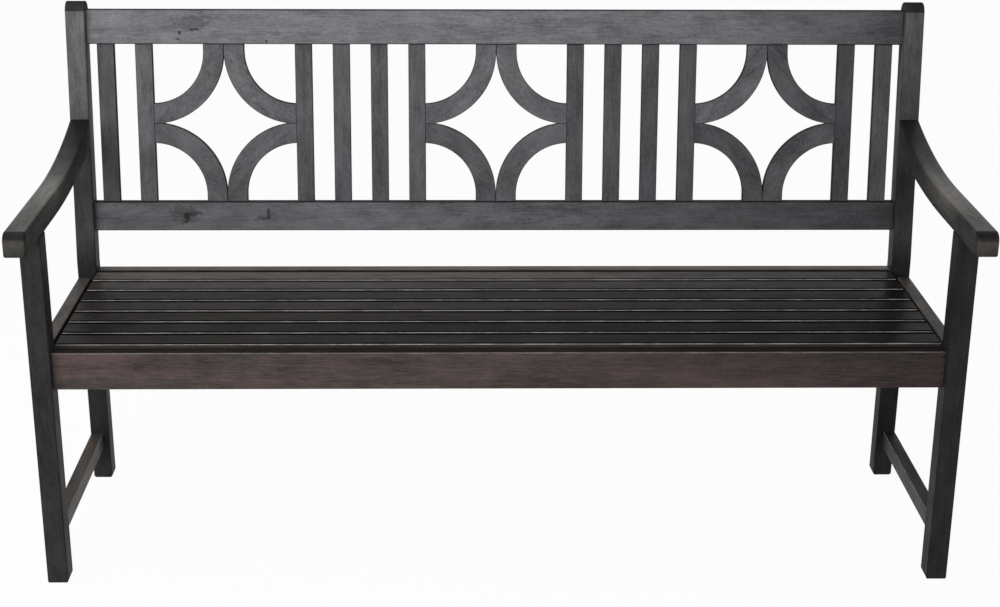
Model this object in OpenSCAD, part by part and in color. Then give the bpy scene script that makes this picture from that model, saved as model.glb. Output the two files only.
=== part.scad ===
// Outdoor bench with a raked openwork back, curved armrests and a slatted seat.
// Sizes are in millimetres. X runs along the bench, the sitter faces -Y and Z points up.
// The origin lies on the ground under the middle of the bench's bounding box.
// Left and right are as seen from the front, so left is -X.

/* [Overall] */
// Width over the outer faces of the legs and posts
bench_w = 1500; // [1440:10:1760]
// Height of the tops of the rear posts
bench_h = 885; // [850:5:950]
// Height of the seat surface
seat_h = 410; // [390:5:440]
// Height of the flat part of the armrests
arm_h = 639; // [610:1:670]
// From the front of the front legs to the front of the rear posts at their bend
frame_d = 400; // [390:2:450]
// Lean of the back from upright, in degrees
back_rake = 7; // [4:0.5:12]

/* [Legs and posts] */
// Width of legs, posts and armrests along the bench
member_w = 34; // [32:1:40]
// Depth of a front leg
leg_d = 40; // [36:1:46]
// Depth of a rear post
post_d = 37; // [34:1:44]
// Height of the bend in the rear posts
bend_h = 430; // [410:5:450]
// How far a rear foot stands behind the bend
foot_back = 7; // [0:1:20]
// Rounding of the tops of the rear posts
post_round = 18; // [6:1:18]

/* [Armrests] */
// Thickness of an armrest where it is flat
arm_t = 38; // [32:1:44]
// How far an armrest reaches past the front leg
arm_reach = 95; // [50:5:130]
// Where the top starts to curve up, behind the front of the front leg
arm_top_start = 150; // [120:5:200]
// Radius of the curve of the top
arm_top_r = 910; // [800:10:1300]
// Where the underside starts to curve up, behind the front of the front leg
arm_under_start = 120; // [90:5:160]
// Radius of the curve of the underside
arm_under_r = 1370; // [1200:10:1800]
// Rounding of the top front edge
arm_nose_r = 15; // [5:1:20]

/* [Seat] */
// Number of seat slats
seat_slat_n = 7; // [5:1:7]
// Width of a seat slat
seat_slat_w = 47; // [42:1:48]
// Thickness of a seat slat
seat_slat_t = 18; // [17:1:24]
// Rounding of the top edges of a seat slat
seat_slat_round = 2.5; // [0.5:0.5:5]
// Gap between a seat slat and the posts at each end
seat_end_gap = 1; // [0.5:0.5:4]
// Gap between the front legs and the first slat
seat_front_gap = 0.5; // [0.5:0.5:4]
// How far the last slat reaches back between the posts
seat_back_reach = 4.5; // [0:0.5:8]

/* [Seat frame] */
// Thickness of every rail
rail_t = 22; // [20:1:26]
// Height of the front and rear seat rails
seat_rail_h = 63; // [58:1:80]
// How far the front rail's face lies behind the front of the legs
front_rail_inset = 15; // [13:1:16]
// How far the front rail's top lies below the seat surface
front_rail_drop = 5; // [3:0.5:9]
// How far the rear rail's face lies behind the front of the posts
rear_rail_inset = 13; // [12:1:15]
// Height of the side seat rails
side_rail_h = 63; // [58:1:80]
// How far the side rails' tops lie below the seat surface
side_rail_drop = 11; // [8:0.5:13]
// Height of the underside of the lower side stretchers
stretcher_z = 61; // [40:1:120]
// Height of a lower side stretcher
stretcher_h = 30; // [26:1:50]
// Width of a cleat under the ends of the seat slats
cleat_w = 34; // [30:1:40]
// Height of a cleat
cleat_h = 22; // [20:1:26]
// Gap at each end of a cleat
cleat_end_gap = 0.5; // [0.5:0.5:3]
// Width of the bearer under the middle of the seat slats
bearer_w = 34; // [32:1:44]
// Height of the bearer
bearer_h = 40; // [34:1:48]

/* [Back] */
// Height of the lower back rail
low_rail_h = 52; // [48:1:60]
// From the bend up along the rake to the lower back rail
low_rail_up = 54; // [30:1:90]
// Height of the top back rail
top_rail_h = 60; // [50:1:80]
// From the top of the posts down along the rake to the top back rail
top_rail_down = 14.5; // [8:0.5:40]
// How far the back rails' faces lie behind the front of the posts
back_rail_inset = 15; // [9:1:15]
// Width of a back slat
back_slat_w = 30; // [28:1:34]
// Thickness of the back slats and of the diamond pieces
back_slat_t = 13; // [11:1:16]
// Gap between the last back slat and the post
back_end_gap = 15; // [5:1:30]
// Width of an opening that holds a diamond
panel_w = 250; // [230:2:264]

/* [Diamonds] */
// Width of a curved diamond piece
arc_w = 36; // [24:1:44]
// How far the centre of the curve lies inside the neighbouring slat
arc_past_slat = 3; // [0:0.5:6]
// How far a diamond piece runs flat against its mirror image
arc_lap = 1; // [0.5:0.5:4]

/* [Joints] */
// Diameter of the frame dowels
dowel_d = 8; // [6:1:9]
// Length of a frame dowel
dowel_l = 40; // [34:1:42]
// Length of a frame dowel that sits in the leg, post or seat rail
dowel_in = 15; // [12:1:17]
// Diameter of the dowels in the diamond pieces
arc_dowel_d = 6; // [4:1:7]
// Length of a dowel in the diamond pieces
arc_dowel_l = 24; // [16:1:26]
// Oversize of a dowel's hole, on its diameter
dowel_fit = 0.2; // [0.1:0.05:0.4]
// Spare depth behind the end of a dowel
dowel_end = 1; // [0.5:0.5:1.5]
// Distance from the bolt of a rail to each dowel of the side rail
side_dowel_off = 13; // [13:0.5:14]
// From the edge of a long rail to the axis of its dowel
rail_dowel_edge = 13; // [9:0.5:14]
// Distance between the two dowels of a stretcher
stretcher_dowel_pitch = 14; // [11:1:15]
// Distance between the two dowels of the bearer
bearer_dowel_pitch = 21; // [21:1:22]
// Thickness of the tenons on the back slats
tenon_t = 8; // [6:1:9]
// Length of a tenon
tenon_l = 12; // [8:1:18]
// Shoulder at each side of a tenon
tenon_shoulder = 5; // [3:1:8]
// Clearance round a tenon
tenon_fit = 0.15; // [0.1:0.05:0.3]

/* [Bolts and screws] */
// Diameter of the frame bolts
bolt_d = 6; // [5:0.5:6.5]
// Length of a frame bolt under its head
bolt_l = 60; // [56:1:64]
// Diameter of a bolt head
bolt_head_d = 12; // [10:0.5:12]
// Height of a bolt head
bolt_head_h = 3.5; // [2:0.5:4]
// Width across flats of the socket in a bolt head
bolt_key = 4; // [3:0.5:5]
// Depth of the socket in a bolt head
bolt_key_depth = 2; // [1:0.5:2]
// Diameter of the recess over a bolt head
bolt_recess_d = 14; // [13.5:0.5:15]
// Depth of the recess over a bolt head
bolt_recess = 8; // [7:0.5:10]
// Diameter of a washer
washer_d = 13; // [12.5:0.5:13]
// Thickness of a washer
washer_t = 1.2; // [0.8:0.1:2]
// Diameter of a barrel nut
nut_d = 10; // [9:0.5:10]
// Length of a barrel nut
nut_l = 18; // [14:1:18]
// How far a bolt reaches past its barrel nut
bolt_past_nut = 3; // [1:0.5:5]
// Clearance of bolts, nuts and screws in their holes, on the diameter
metal_fit = 0.3; // [0.1:0.1:0.5]
// Diameter of the wood screws
screw_d = 4; // [3:0.5:4.5]
// Diameter of a screw head
screw_head_d = 8; // [7:0.5:8.5]
// Height of a countersunk screw head
screw_head_h = 2.4; // [2:0.1:3]
// Length of the screws in the seat slats
slat_screw_l = 30; // [24:1:31]
// Wood between the head of a slat screw and the slat
slat_screw_grip = 16; // [14:1:18]
// Length of the screws in the cleats
cleat_screw_l = 50; // [42:1:54]

/* [Colours] */
// Stain of the posts, legs and side rails
frame_colour = "#4a4548";
// Stain of the armrests
arm_colour = "#6b665f";
// Stain of the back rails, slats and diamonds
back_colour = "#68666b";
// Stain of the seat
seat_colour = "#4c4648";
// Bare wood of the hidden dowels
dowel_colour = "#b99f78";
// Zinc on the fasteners
metal_colour = "#b9bbbe";

/* [Hidden] */
sides = ["left", "right"];
levels = ["lower", "upper"];
panel_n = 3;
group_n = 4; // back slats between neighbouring diamonds, half as many at each end
back_slat_n = panel_n * group_n;

$fn = 48;
big_fn = 1440; // facets on the long curves of the armrests
cut = 1; // how far a cutting shape runs past the face that it cuts

half_w = bench_w / 2;
inner_x = half_w - member_w;
side_rail_x = half_w - rail_t;
side_joint_x = half_w - rail_t / 2;

// Rear post, with its rounded top
post_top_r = min(post_round, post_d / 2 - 0.5);
post_top_up = (bench_h - bend_h - post_top_r * (1 - sin(back_rake))) / cos(back_rake);
post_back_reach = frame_d + (post_d - post_top_r) * cos(back_rake)
    + post_top_up * sin(back_rake) + post_top_r;

// Depths, from front to back
leg_y = (arm_reach - post_back_reach) / 2;
leg_back_y = leg_y + leg_d;
bend_y = leg_y + frame_d;
foot_y = bend_y + foot_back;
front_rail_y = leg_y + front_rail_inset;
front_rail_back = front_rail_y + rail_t;
rear_rail_y = bend_y + rear_rail_inset;

// Heights of the seat and its frame
slat_under = seat_h - seat_slat_t;
front_rail_z = seat_h - front_rail_drop - seat_rail_h;
rear_rail_z = seat_h - seat_rail_h;
side_rail_top = seat_h - side_rail_drop;
side_rail_z = side_rail_top - side_rail_h;
cleat_z = slat_under - cleat_h;
bearer_z = slat_under - bearer_h;

// Seat slats
seat_y = leg_back_y + seat_front_gap;
seat_back_y = bend_y + seat_back_reach;
seat_slat_pitch = (seat_back_y - seat_y - seat_slat_w) / (seat_slat_n - 1);
seat_slat_x = inner_x - seat_end_gap;
cleat_x = side_rail_x - cleat_w;

// Back, measured up the rake from the bend and back from the front of the posts
post_tip_up = post_top_up + post_top_r;
top_rail_up = post_tip_up - top_rail_down - top_rail_h;
low_rail_top = low_rail_up + low_rail_h;
opening_h = top_rail_up - low_rail_top;
opening_mid = (low_rail_top + top_rail_up) / 2;
rail_mid_back = back_rail_inset + rail_t / 2;
slat_face_back = rail_mid_back - back_slat_t / 2;

// Back slats: their gaps share the length that the slats and the diamonds leave
back_gap_n = (panel_n - 1) * (group_n - 1) + 2 * (group_n / 2 - 1);
back_gap = (2 * (inner_x - back_end_gap) - panel_n * panel_w - back_slat_n * back_slat_w) / back_gap_n;
back_pitch = back_slat_w + back_gap;
panel_pitch = panel_w + group_n * back_pitch - back_gap;

// Diamond pieces, measured from the middle of their opening
arc_out_r = panel_w / 2 + arc_past_slat;
arc_in_r = arc_out_r - arc_w;
arc_mid_up = arc_out_r - arc_lap;
arc_foot_up = arc_mid_up - sqrt(pow(arc_in_r, 2) - pow(arc_past_slat, 2));

// Fasteners
recess_x = half_w - bolt_recess;
nut_back = bolt_l - washer_t - nut_d / 2 - bolt_past_nut;
bolt_hole_d = bolt_d + metal_fit;
nut_hole_d = nut_d + metal_fit;
dowel_out = dowel_l - dowel_in;
dowel_hole_d = dowel_d + dowel_fit;
slat_screw_z = slat_under - slat_screw_grip;
end_screw_x = (cleat_x + seat_slat_x) / 2;

// Each long rail's joint: depth and height of its bolt, its lean, and where its dowels are.
// A back rail has one dowel, on the side that has no mortises.
seat_dowel_off = seat_rail_h / 2 - rail_dowel_edge;
rail_joints = [
    [front_rail_y + rail_t / 2, front_rail_z + seat_rail_h / 2, 0, [-seat_dowel_off, seat_dowel_off]],
    [rear_rail_y + rail_t / 2, rear_rail_z + seat_rail_h / 2, 0, [-seat_dowel_off, seat_dowel_off]],
    rake_joint(low_rail_up, low_rail_h, -1),
    rake_joint(top_rail_up, top_rail_h, 1)
];
FRONT_RAIL = 0;
REAR_RAIL = 1;
LOW_RAIL = 2;
TOP_RAIL = 3;

// Where the armrest meets the post
arm_under_z = arm_h - arm_t;
arm_meet_y = post_front(arm_h + arm_t / 2);
arm_nut_y = arm_meet_y - bolt_l / 2 + bolt_past_nut;
arm_bolt_z = (arm_top_at(arm_nut_y) + arm_under_at(arm_nut_y)) / 2 + dowel_d / 2 + 1;
arm_dowel_z = arm_bolt_z - 2 * dowel_d;
arm_seat_y = post_front(arm_bolt_z) + post_d / cos(back_rake) - bolt_recess;
arm_x = half_w - member_w / 2;

// Points on the raked back: a is the depth behind the posts' front, b is the way up the rake
function rake_y(a, b) = bend_y + a * cos(back_rake) + b * sin(back_rake);
function rake_z(a, b) = bend_h - a * sin(back_rake) + b * cos(back_rake);
function rake_joint(up, h, dowel_side) = [
    rake_y(rail_mid_back, up + h / 2),
    rake_z(rail_mid_back, up + h / 2),
    back_rake,
    [dowel_side * (h / 2 - rail_dowel_edge)]
];

// Depth of the front of a rear post at height z
function post_front(z) = z < bend_h
    ? foot_y - foot_back * z / bend_h
    : bend_y + (z - bend_h) * tan(back_rake);

// Height of the armrest's top and underside, on their curves, at depth y
function curve_rise(r, run) = r - sqrt(r * r - run * run);
function arm_top_at(y) = arm_h + curve_rise(arm_top_r, y - leg_y - arm_top_start);
function arm_under_at(y) = arm_under_z + curve_rise(arm_under_r, y - leg_y - arm_under_start);

// Middle of opening i, and left edge of back slat i, both counted from 1 at the left.
// A group of slats starts at the right edge of each opening, and the first group is cut in half.
function panel_mid(i) = (i - (panel_n + 1) / 2) * panel_pitch;
function back_slat_edge(i) =
    let (k = i - 1 + group_n / 2)
    panel_mid(floor(k / group_n)) + panel_w / 2 + (k % group_n) * back_pitch;
function seat_slat_front(i) = seat_y + (i - 1) * seat_slat_pitch;
function side_sign(s) = s == "left" ? -1 : 1;
function level_sign(v) = v == "lower" ? -1 : 1;

// Placing

// Draws for the right end and turns it over for the left end
module at_side(s) {
    if (s < 0) mirror([1, 0, 0]) children();
    else children();
}

// Draws once at each end of the bench
module both_ends() {
    for (s = [-1, 1]) at_side(s) children();
}

// Turns an outline in depth and height into a solid that runs along the bench from x
module along_bench(x, w) {
    translate([x, 0, 0]) rotate([90, 0, 90]) linear_extrude(w) children();
}

// Moves to the front of the posts at their bend and leans back with them
module on_rake() {
    translate([0, bend_y, bend_h]) rotate([-back_rake, 0, 0]) children();
}

module at_joint(j) {
    translate([0, j[0], j[1]]) rotate([-j[2], 0, 0]) children();
}

module x_rod(x, l, d) {
    translate([x, 0, 0]) rotate([0, 90, 0]) cylinder(h = l, d = d);
}

module y_rod(y, l, d) {
    translate([0, y, 0]) rotate([-90, 0, 0]) cylinder(h = l, d = d);
}

// Runs a bolt's seat along +X at each of the five joints of the right end
module at_bolts() {
    for (j = rail_joints) at_joint(j) translate([recess_x, 0, 0]) children();
    translate([arm_x, arm_seat_y, arm_bolt_z]) rotate([0, 0, 90]) children();
}

// Holes

// Bolt hole, barrel nut hole and dowel holes in the right end of a long rail
module rail_end_holes(j) {
    nut_x = recess_x - nut_back;
    tip_x = recess_x + washer_t - bolt_l;
    at_joint(j) {
        x_rod(tip_x - dowel_end, inner_x - tip_x + dowel_end + cut, bolt_hole_d);
        translate([nut_x, 0, 0])
            y_rod(-nut_l / 2 - metal_fit, (nut_l + rail_t) / 2 + metal_fit + cut, nut_hole_d);
        for (o = j[3]) translate([0, 0, o])
            x_rod(inner_x - dowel_out - dowel_end, dowel_out + dowel_end + cut, dowel_hole_d);
    }
}

// Bolt hole, recess and dowel holes in a leg or post for a long rail
module post_side_holes(j) {
    at_joint(j) {
        x_rod(inner_x - cut, member_w + 2 * cut, bolt_hole_d);
        x_rod(recess_x, bolt_recess + cut, bolt_recess_d);
        for (o = j[3]) translate([0, 0, o])
            x_rod(inner_x - cut, dowel_in + dowel_end + cut, dowel_hole_d);
    }
}

// Heights of the dowels that join a side rail and a stretcher to a leg or post
function side_dowel_heights(j) = concat(
    [for (o = [-1, 1]) j[1] + o * side_dowel_off],
    [for (o = [-1, 1]) stretcher_z + stretcher_h / 2 + o * stretcher_dowel_pitch / 2]
);

// Dowels or, with room added, their holes, at the front and the rear of the side frame
module side_dowels(room, fit) {
    for (z = side_dowel_heights(rail_joints[FRONT_RAIL]))
        translate([side_joint_x, 0, z])
            y_rod(leg_back_y - dowel_in - room, dowel_l + 2 * room, dowel_d + fit);
    for (z = side_dowel_heights(rail_joints[REAR_RAIL]))
        translate([side_joint_x, 0, z])
            y_rod(post_front(z) - dowel_out - room, dowel_l + 2 * room, dowel_d + fit);
}

// Two upright dowels at the front leg and one level dowel at the post
module arm_dowels(room, fit) {
    for (o = [-1, 1]) translate([arm_x, leg_y + leg_d / 2 + o * dowel_d, arm_under_z - dowel_l / 2 - room])
        cylinder(h = dowel_l + 2 * room, d = dowel_d + fit);
    translate([arm_x, 0, arm_dowel_z])
        y_rod(post_front(arm_dowel_z) - dowel_out - room, dowel_l + 2 * room, dowel_d + fit);
}

// Dowels side by side at each end of the centre bearer
module bearer_dowels(room, fit) {
    for (o = [-1, 1]) translate([o * bearer_dowel_pitch / 2, 0, bearer_z + bearer_h / 2]) {
        y_rod(front_rail_back - dowel_in - room, dowel_l + 2 * room, dowel_d + fit);
        y_rod(rear_rail_y - dowel_out - room, dowel_l + 2 * room, dowel_d + fit);
    }
}

// Dowels that hold the diamond pieces to the rails and to the slats beside them
module diamond_pegs(room, fit) {
    on_rake() translate([0, rail_mid_back, opening_mid])
        for (i = [1 : panel_n], u = [-1, 1], v = [-1, 1]) translate([panel_mid(i), 0, 0]) {
            translate([u * arc_w / 2, 0, v * opening_h / 2 - arc_dowel_l / 2 - room])
                cylinder(h = arc_dowel_l + 2 * room, d = arc_dowel_d + fit);
            translate([0, 0, v * arc_foot_up / 2])
                x_rod(u * panel_w / 2 - arc_dowel_l / 2 - room, arc_dowel_l + 2 * room, arc_dowel_d + fit);
        }
}

// Tenon of a back slat, and with clearance its mortise
module slat_tenon(fit, room) {
    w = back_slat_w - 2 * tenon_shoulder + 2 * fit;
    t = tenon_t + 2 * fit;
    translate([back_slat_w / 2 - w / 2, rail_mid_back - t / 2, low_rail_top - tenon_l - room])
        cube([w, t, opening_h + 2 * tenon_l + 2 * room]);
}

module slat_mortises() {
    on_rake() for (i = [1 : back_slat_n]) translate([back_slat_edge(i), 0, 0])
        slat_tenon(tenon_fit, dowel_end);
}

// Places a screw or its hole under each end and the middle of every slat
module at_slat_screws() {
    for (i = [1 : seat_slat_n], x = [-end_screw_x, 0, end_screw_x])
        translate([x, seat_slat_front(i) + seat_slat_w / 2, slat_screw_z]) children();
}

module slat_screw_holes() {
    at_slat_screws() {
        wood_screw(slat_screw_l, metal_fit);
        translate([0, 0, -bearer_h]) cylinder(h = bearer_h, d = screw_head_d + metal_fit);
    }
}

// Runs a screw outward through the right cleat, once in each gap between slats
module at_cleat_screws() {
    half_gap = (seat_slat_pitch - seat_slat_w) / 2;
    for (i = [2 : seat_slat_n])
        translate([cleat_x, seat_slat_front(i) - half_gap, cleat_z + cleat_h / 2])
            rotate([0, 90, 0]) children();
}

// Countersunk screw that points along +Z with its head flush at the origin
module wood_screw(l, fit) {
    cylinder(h = screw_head_h, d1 = screw_head_d + fit, d2 = screw_d + fit);
    cylinder(h = l + fit, d = screw_d + fit);
}

// Legs, posts and armrests

// What comes off a square top corner of a post to make it round
module post_corner() {
    difference() {
        translate([-cut, 0]) square(post_top_r + cut);
        translate([post_top_r, 0]) circle(r = post_top_r);
    }
}

module post_outline() {
    difference() {
        polygon([
            [foot_y, 0],
            [bend_y, bend_h],
            [rake_y(0, post_tip_up), rake_z(0, post_tip_up)],
            [rake_y(post_d, post_tip_up), rake_z(post_d, post_tip_up)],
            [rake_y(post_d, 0), rake_z(post_d, 0)],
            [foot_y + post_d, 0]
        ]);
        translate([bend_y, bend_h]) rotate(-back_rake)
            for (m = [0, 1]) translate([m * post_d, post_top_up]) mirror([m, 0]) post_corner();
    }
}

module rear_post(s) {
    color(frame_colour) at_side(s) difference() {
        along_bench(inner_x, member_w) post_outline();
        for (k = [REAR_RAIL, LOW_RAIL, TOP_RAIL]) post_side_holes(rail_joints[k]);
        side_dowels(dowel_end, dowel_fit);
        arm_dowels(dowel_end, dowel_fit);
        translate([arm_x, 0, arm_bolt_z]) {
            y_rod(bend_y, frame_d, bolt_hole_d);
            y_rod(arm_seat_y, frame_d, bolt_recess_d);
        }
    }
}

module front_leg(s) {
    color(frame_colour) at_side(s) difference() {
        translate([inner_x, leg_y, 0]) cube([member_w, leg_d, arm_under_z]);
        post_side_holes(rail_joints[FRONT_RAIL]);
        side_dowels(dowel_end, dowel_fit);
        arm_dowels(dowel_end, dowel_fit);
    }
}

// The flat front of an armrest, up to where its underside starts to curve
module arm_front_outline() {
    nose_y = leg_y - arm_reach + arm_nose_r;
    translate([nose_y, arm_under_z]) square([leg_y + arm_under_start - nose_y, arm_t]);
    translate([leg_y - arm_reach, arm_under_z]) square([arm_nose_r, arm_t - arm_nose_r]);
    translate([nose_y, arm_h - arm_nose_r]) circle(r = arm_nose_r);
}

module arm_outline() {
    sweep = frame_d - arm_under_start + post_d * 2;
    difference() {
        union() {
            arm_front_outline();
            intersection() {
                translate([leg_y + arm_under_start, arm_under_z]) square([sweep, arm_t * 4]);
                translate([leg_y + arm_under_start, arm_under_z + arm_under_r])
                    circle(r = arm_under_r, $fn = big_fn);
            }
        }
        translate([leg_y + arm_top_start, arm_h + arm_top_r]) circle(r = arm_top_r, $fn = big_fn);
        translate([leg_y - arm_reach, arm_h]) square([arm_reach + arm_top_start, arm_t * 4]);
        translate([bend_y, bend_h]) rotate(-back_rake) square([frame_d, bench_h]);
    }
}

module armrest(s) {
    color(arm_colour) at_side(s) difference() {
        along_bench(inner_x, member_w) arm_outline();
        arm_dowels(dowel_end, dowel_fit);
        translate([arm_x, arm_seat_y, arm_bolt_z]) rotate([0, 0, 90]) {
            x_rod(washer_t - bolt_l - dowel_end, bolt_l, bolt_hole_d);
            translate([-nut_back, 0, 0])
                y_rod(-member_w / 2 - cut, member_w / 2 + nut_l / 2 + metal_fit + cut, nut_hole_d);
        }
    }
}

// Seat frame

module side_rail_outline(z, h) {
    polygon([
        [leg_back_y, z],
        [post_front(z), z],
        [post_front(z + h), z + h],
        [leg_back_y, z + h]
    ]);
}

module seat_side_rail(s) {
    color(frame_colour) at_side(s) difference() {
        along_bench(side_rail_x, rail_t) side_rail_outline(side_rail_z, side_rail_h);
        side_dowels(dowel_end, dowel_fit);
        at_cleat_screws() wood_screw(cleat_screw_l, metal_fit);
    }
}

module lower_stretcher(s) {
    color(frame_colour) at_side(s) difference() {
        along_bench(side_rail_x, rail_t) side_rail_outline(stretcher_z, stretcher_h);
        side_dowels(dowel_end, dowel_fit);
    }
}

module seat_cleat(s) {
    color(seat_colour) at_side(s) difference() {
        translate([cleat_x, leg_back_y + cleat_end_gap, cleat_z])
            cube([cleat_w, post_front(slat_under) - leg_back_y - 2 * cleat_end_gap, cleat_h]);
        slat_screw_holes();
        at_cleat_screws() wood_screw(cleat_screw_l, metal_fit);
    }
}

module centre_seat_bearer() {
    color(seat_colour) difference() {
        translate([-bearer_w / 2, front_rail_back, bearer_z])
            cube([bearer_w, rear_rail_y - front_rail_back, bearer_h]);
        slat_screw_holes();
        bearer_dowels(dowel_end, dowel_fit);
    }
}

module seat_rail(y, z, j) {
    color(seat_colour) difference() {
        translate([-inner_x, y, z]) cube([2 * inner_x, rail_t, seat_rail_h]);
        both_ends() rail_end_holes(j);
        bearer_dowels(dowel_end, dowel_fit);
    }
}

module front_seat_rail() {
    seat_rail(front_rail_y, front_rail_z, rail_joints[FRONT_RAIL]);
}

module rear_seat_rail() {
    seat_rail(rear_rail_y, rear_rail_z, rail_joints[REAR_RAIL]);
}

module seat_slat_outline() {
    r = min(seat_slat_round, seat_slat_t / 2);
    square([seat_slat_w, seat_slat_t - r]);
    translate([r, 0]) square([seat_slat_w - 2 * r, seat_slat_t]);
    for (y = [r, seat_slat_w - r]) translate([y, seat_slat_t - r]) circle(r = r);
}

module seat_slat(i) {
    color(seat_colour) difference() {
        translate([0, seat_slat_front(i), slat_under])
            along_bench(-seat_slat_x, 2 * seat_slat_x) seat_slat_outline();
        slat_screw_holes();
    }
}

// Back

module back_rail(up, h, j) {
    color(back_colour) difference() {
        on_rake() translate([-inner_x, back_rail_inset, up]) cube([2 * inner_x, rail_t, h]);
        both_ends() rail_end_holes(j);
        slat_mortises();
        diamond_pegs(dowel_end, dowel_fit);
    }
}

module lower_back_rail() {
    back_rail(low_rail_up, low_rail_h, rail_joints[LOW_RAIL]);
}

module top_back_rail() {
    back_rail(top_rail_up, top_rail_h, rail_joints[TOP_RAIL]);
}

module back_slat(i) {
    color(back_colour) difference() {
        on_rake() translate([back_slat_edge(i), 0, 0]) {
            translate([0, slat_face_back, low_rail_top]) cube([back_slat_w, back_slat_t, opening_h]);
            slat_tenon(0, 0);
        }
        diamond_pegs(dowel_end, dowel_fit);
    }
}

// One quarter of a diamond, drawn towards the upper right of its opening
module diamond_quarter_outline() {
    intersection() {
        square([panel_w / 2, opening_h / 2]);
        union() {
            difference() {
                translate([arc_out_r, arc_mid_up]) circle(r = arc_out_r, $fn = 192);
                translate([arc_out_r, arc_mid_up]) circle(r = arc_in_r, $fn = 192);
                translate([0, arc_mid_up]) square([2 * arc_out_r, 2 * arc_out_r]);
            }
            translate([0, arc_mid_up]) square([arc_w, opening_h]);
        }
    }
}

module diamond_piece(i, u, v) {
    color(back_colour) difference() {
        on_rake() translate([panel_mid(i), slat_face_back + back_slat_t, opening_mid])
            rotate([90, 0, 0]) linear_extrude(back_slat_t)
                mirror([u < 0 ? 1 : 0, 0]) mirror([0, v < 0 ? 1 : 0]) diamond_quarter_outline();
        diamond_pegs(dowel_end, dowel_fit);
    }
}

// Fasteners

module frame_bolt() {
    difference() {
        x_rod(washer_t, bolt_head_h, bolt_head_d);
        translate([washer_t + bolt_head_h - bolt_key_depth, 0, 0]) rotate([0, 90, 0])
            cylinder(h = bolt_key_depth + cut, d = bolt_key / cos(30), $fn = 6);
    }
    x_rod(washer_t - bolt_l, bolt_l, bolt_d);
}

module frame_bolts() {
    color(metal_colour) both_ends() at_bolts() frame_bolt();
}

module bolt_washers() {
    color(metal_colour) both_ends() at_bolts() difference() {
        x_rod(0, washer_t, washer_d);
        x_rod(-cut, washer_t + 2 * cut, bolt_hole_d);
    }
}

module barrel_nuts() {
    color(metal_colour) both_ends() at_bolts() translate([-nut_back, 0, 0]) difference() {
        y_rod(-nut_l / 2, nut_l, nut_d);
        x_rod(-nut_d, 2 * nut_d, bolt_hole_d);
    }
}

module long_rail_dowels() {
    color(dowel_colour) {
        both_ends() for (j = rail_joints, o = j[3]) at_joint(j)
            translate([0, 0, o]) x_rod(inner_x - dowel_out, dowel_l, dowel_d);
        bearer_dowels(0, 0);
    }
}

module side_frame_dowels() {
    color(dowel_colour) both_ends() side_dowels(0, 0);
}

module armrest_dowels() {
    color(dowel_colour) both_ends() arm_dowels(0, 0);
}

module diamond_dowels() {
    color(dowel_colour) diamond_pegs(0, 0);
}

module seat_slat_screws() {
    color(metal_colour) at_slat_screws() wood_screw(slat_screw_l, 0);
}

module cleat_screws() {
    color(metal_colour) both_ends() at_cleat_screws() wood_screw(cleat_screw_l, 0);
}

for (s = sides) {
    rear_post(side_sign(s));
    front_leg(side_sign(s));
    armrest(side_sign(s));
    seat_side_rail(side_sign(s));
    lower_stretcher(side_sign(s));
    seat_cleat(side_sign(s));
}
front_seat_rail();
rear_seat_rail();
centre_seat_bearer();
lower_back_rail();
top_back_rail();
for (i = [1 : seat_slat_n]) {
    seat_slat(i);
}
for (i = [1 : back_slat_n]) {
    back_slat(i);
}
for (i = [1 : panel_n], v = levels, s = sides) {
    name = str("diamond_", i, "_", v, "_", s);
    diamond_piece(i, side_sign(s), level_sign(v));
}
long_rail_dowels();
side_frame_dowels();
armrest_dowels();
diamond_dowels();
frame_bolts();
bolt_washers();
barrel_nuts();
seat_slat_screws();
cleat_screws();
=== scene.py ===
"""Looks for an outdoor bench in dark stained wood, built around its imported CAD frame."""

import functools
import math
import random

import bmesh
import bpy
from bpy.props import FloatProperty, FloatVectorProperty, PointerProperty
from mathutils import Matrix, Vector


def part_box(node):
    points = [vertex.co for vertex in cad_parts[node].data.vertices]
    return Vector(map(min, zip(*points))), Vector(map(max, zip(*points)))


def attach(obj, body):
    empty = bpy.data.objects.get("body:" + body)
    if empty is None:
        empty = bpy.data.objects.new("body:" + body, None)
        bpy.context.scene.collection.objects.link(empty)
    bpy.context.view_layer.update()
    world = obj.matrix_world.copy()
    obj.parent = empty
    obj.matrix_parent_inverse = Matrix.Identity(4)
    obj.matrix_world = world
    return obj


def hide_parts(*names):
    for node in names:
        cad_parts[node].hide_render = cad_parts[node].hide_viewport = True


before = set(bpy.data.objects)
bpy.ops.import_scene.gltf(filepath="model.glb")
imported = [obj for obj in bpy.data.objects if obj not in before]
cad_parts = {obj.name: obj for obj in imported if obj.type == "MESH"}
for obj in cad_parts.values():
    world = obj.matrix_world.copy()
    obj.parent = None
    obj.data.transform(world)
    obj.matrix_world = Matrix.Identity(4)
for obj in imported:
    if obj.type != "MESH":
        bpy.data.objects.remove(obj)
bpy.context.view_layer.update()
LEG_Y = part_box("left_front_leg")[0].y
BEND_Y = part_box("left_rear_post")[0].y

bl_info = {
    "name": "Outdoor Bench",
    "version": (1, 0, 0),
    "blender": (4, 5, 0),
    "location": "3D Viewport > Sidebar > Bench",
    "description": "Builds the stained wooden pieces of an outdoor bench around its packed frame",
    "category": "Object",
}

SIDES = ("left", "right")
LEVELS = ("lower", "upper")
PANELS = (1, 2, 3)
SEAT_SLATS = range(1, 8)
BACK_SLATS = range(1, 13)
MM = 0.001
TINY = 0.01 * MM
SLACK = 0.1 * MM

# An edge longer than LONG runs along a piece, and one longer than WIDE across it
LONG = 100 * MM
WIDE = 10 * MM

# Axes, as numbers and as directions
X, Y, Z = range(3)
ALONG_X = Vector((1, 0, 0))
ALONG_Y = Vector((0, 1, 0))
UP = Vector((0, 0, 1))

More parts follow.
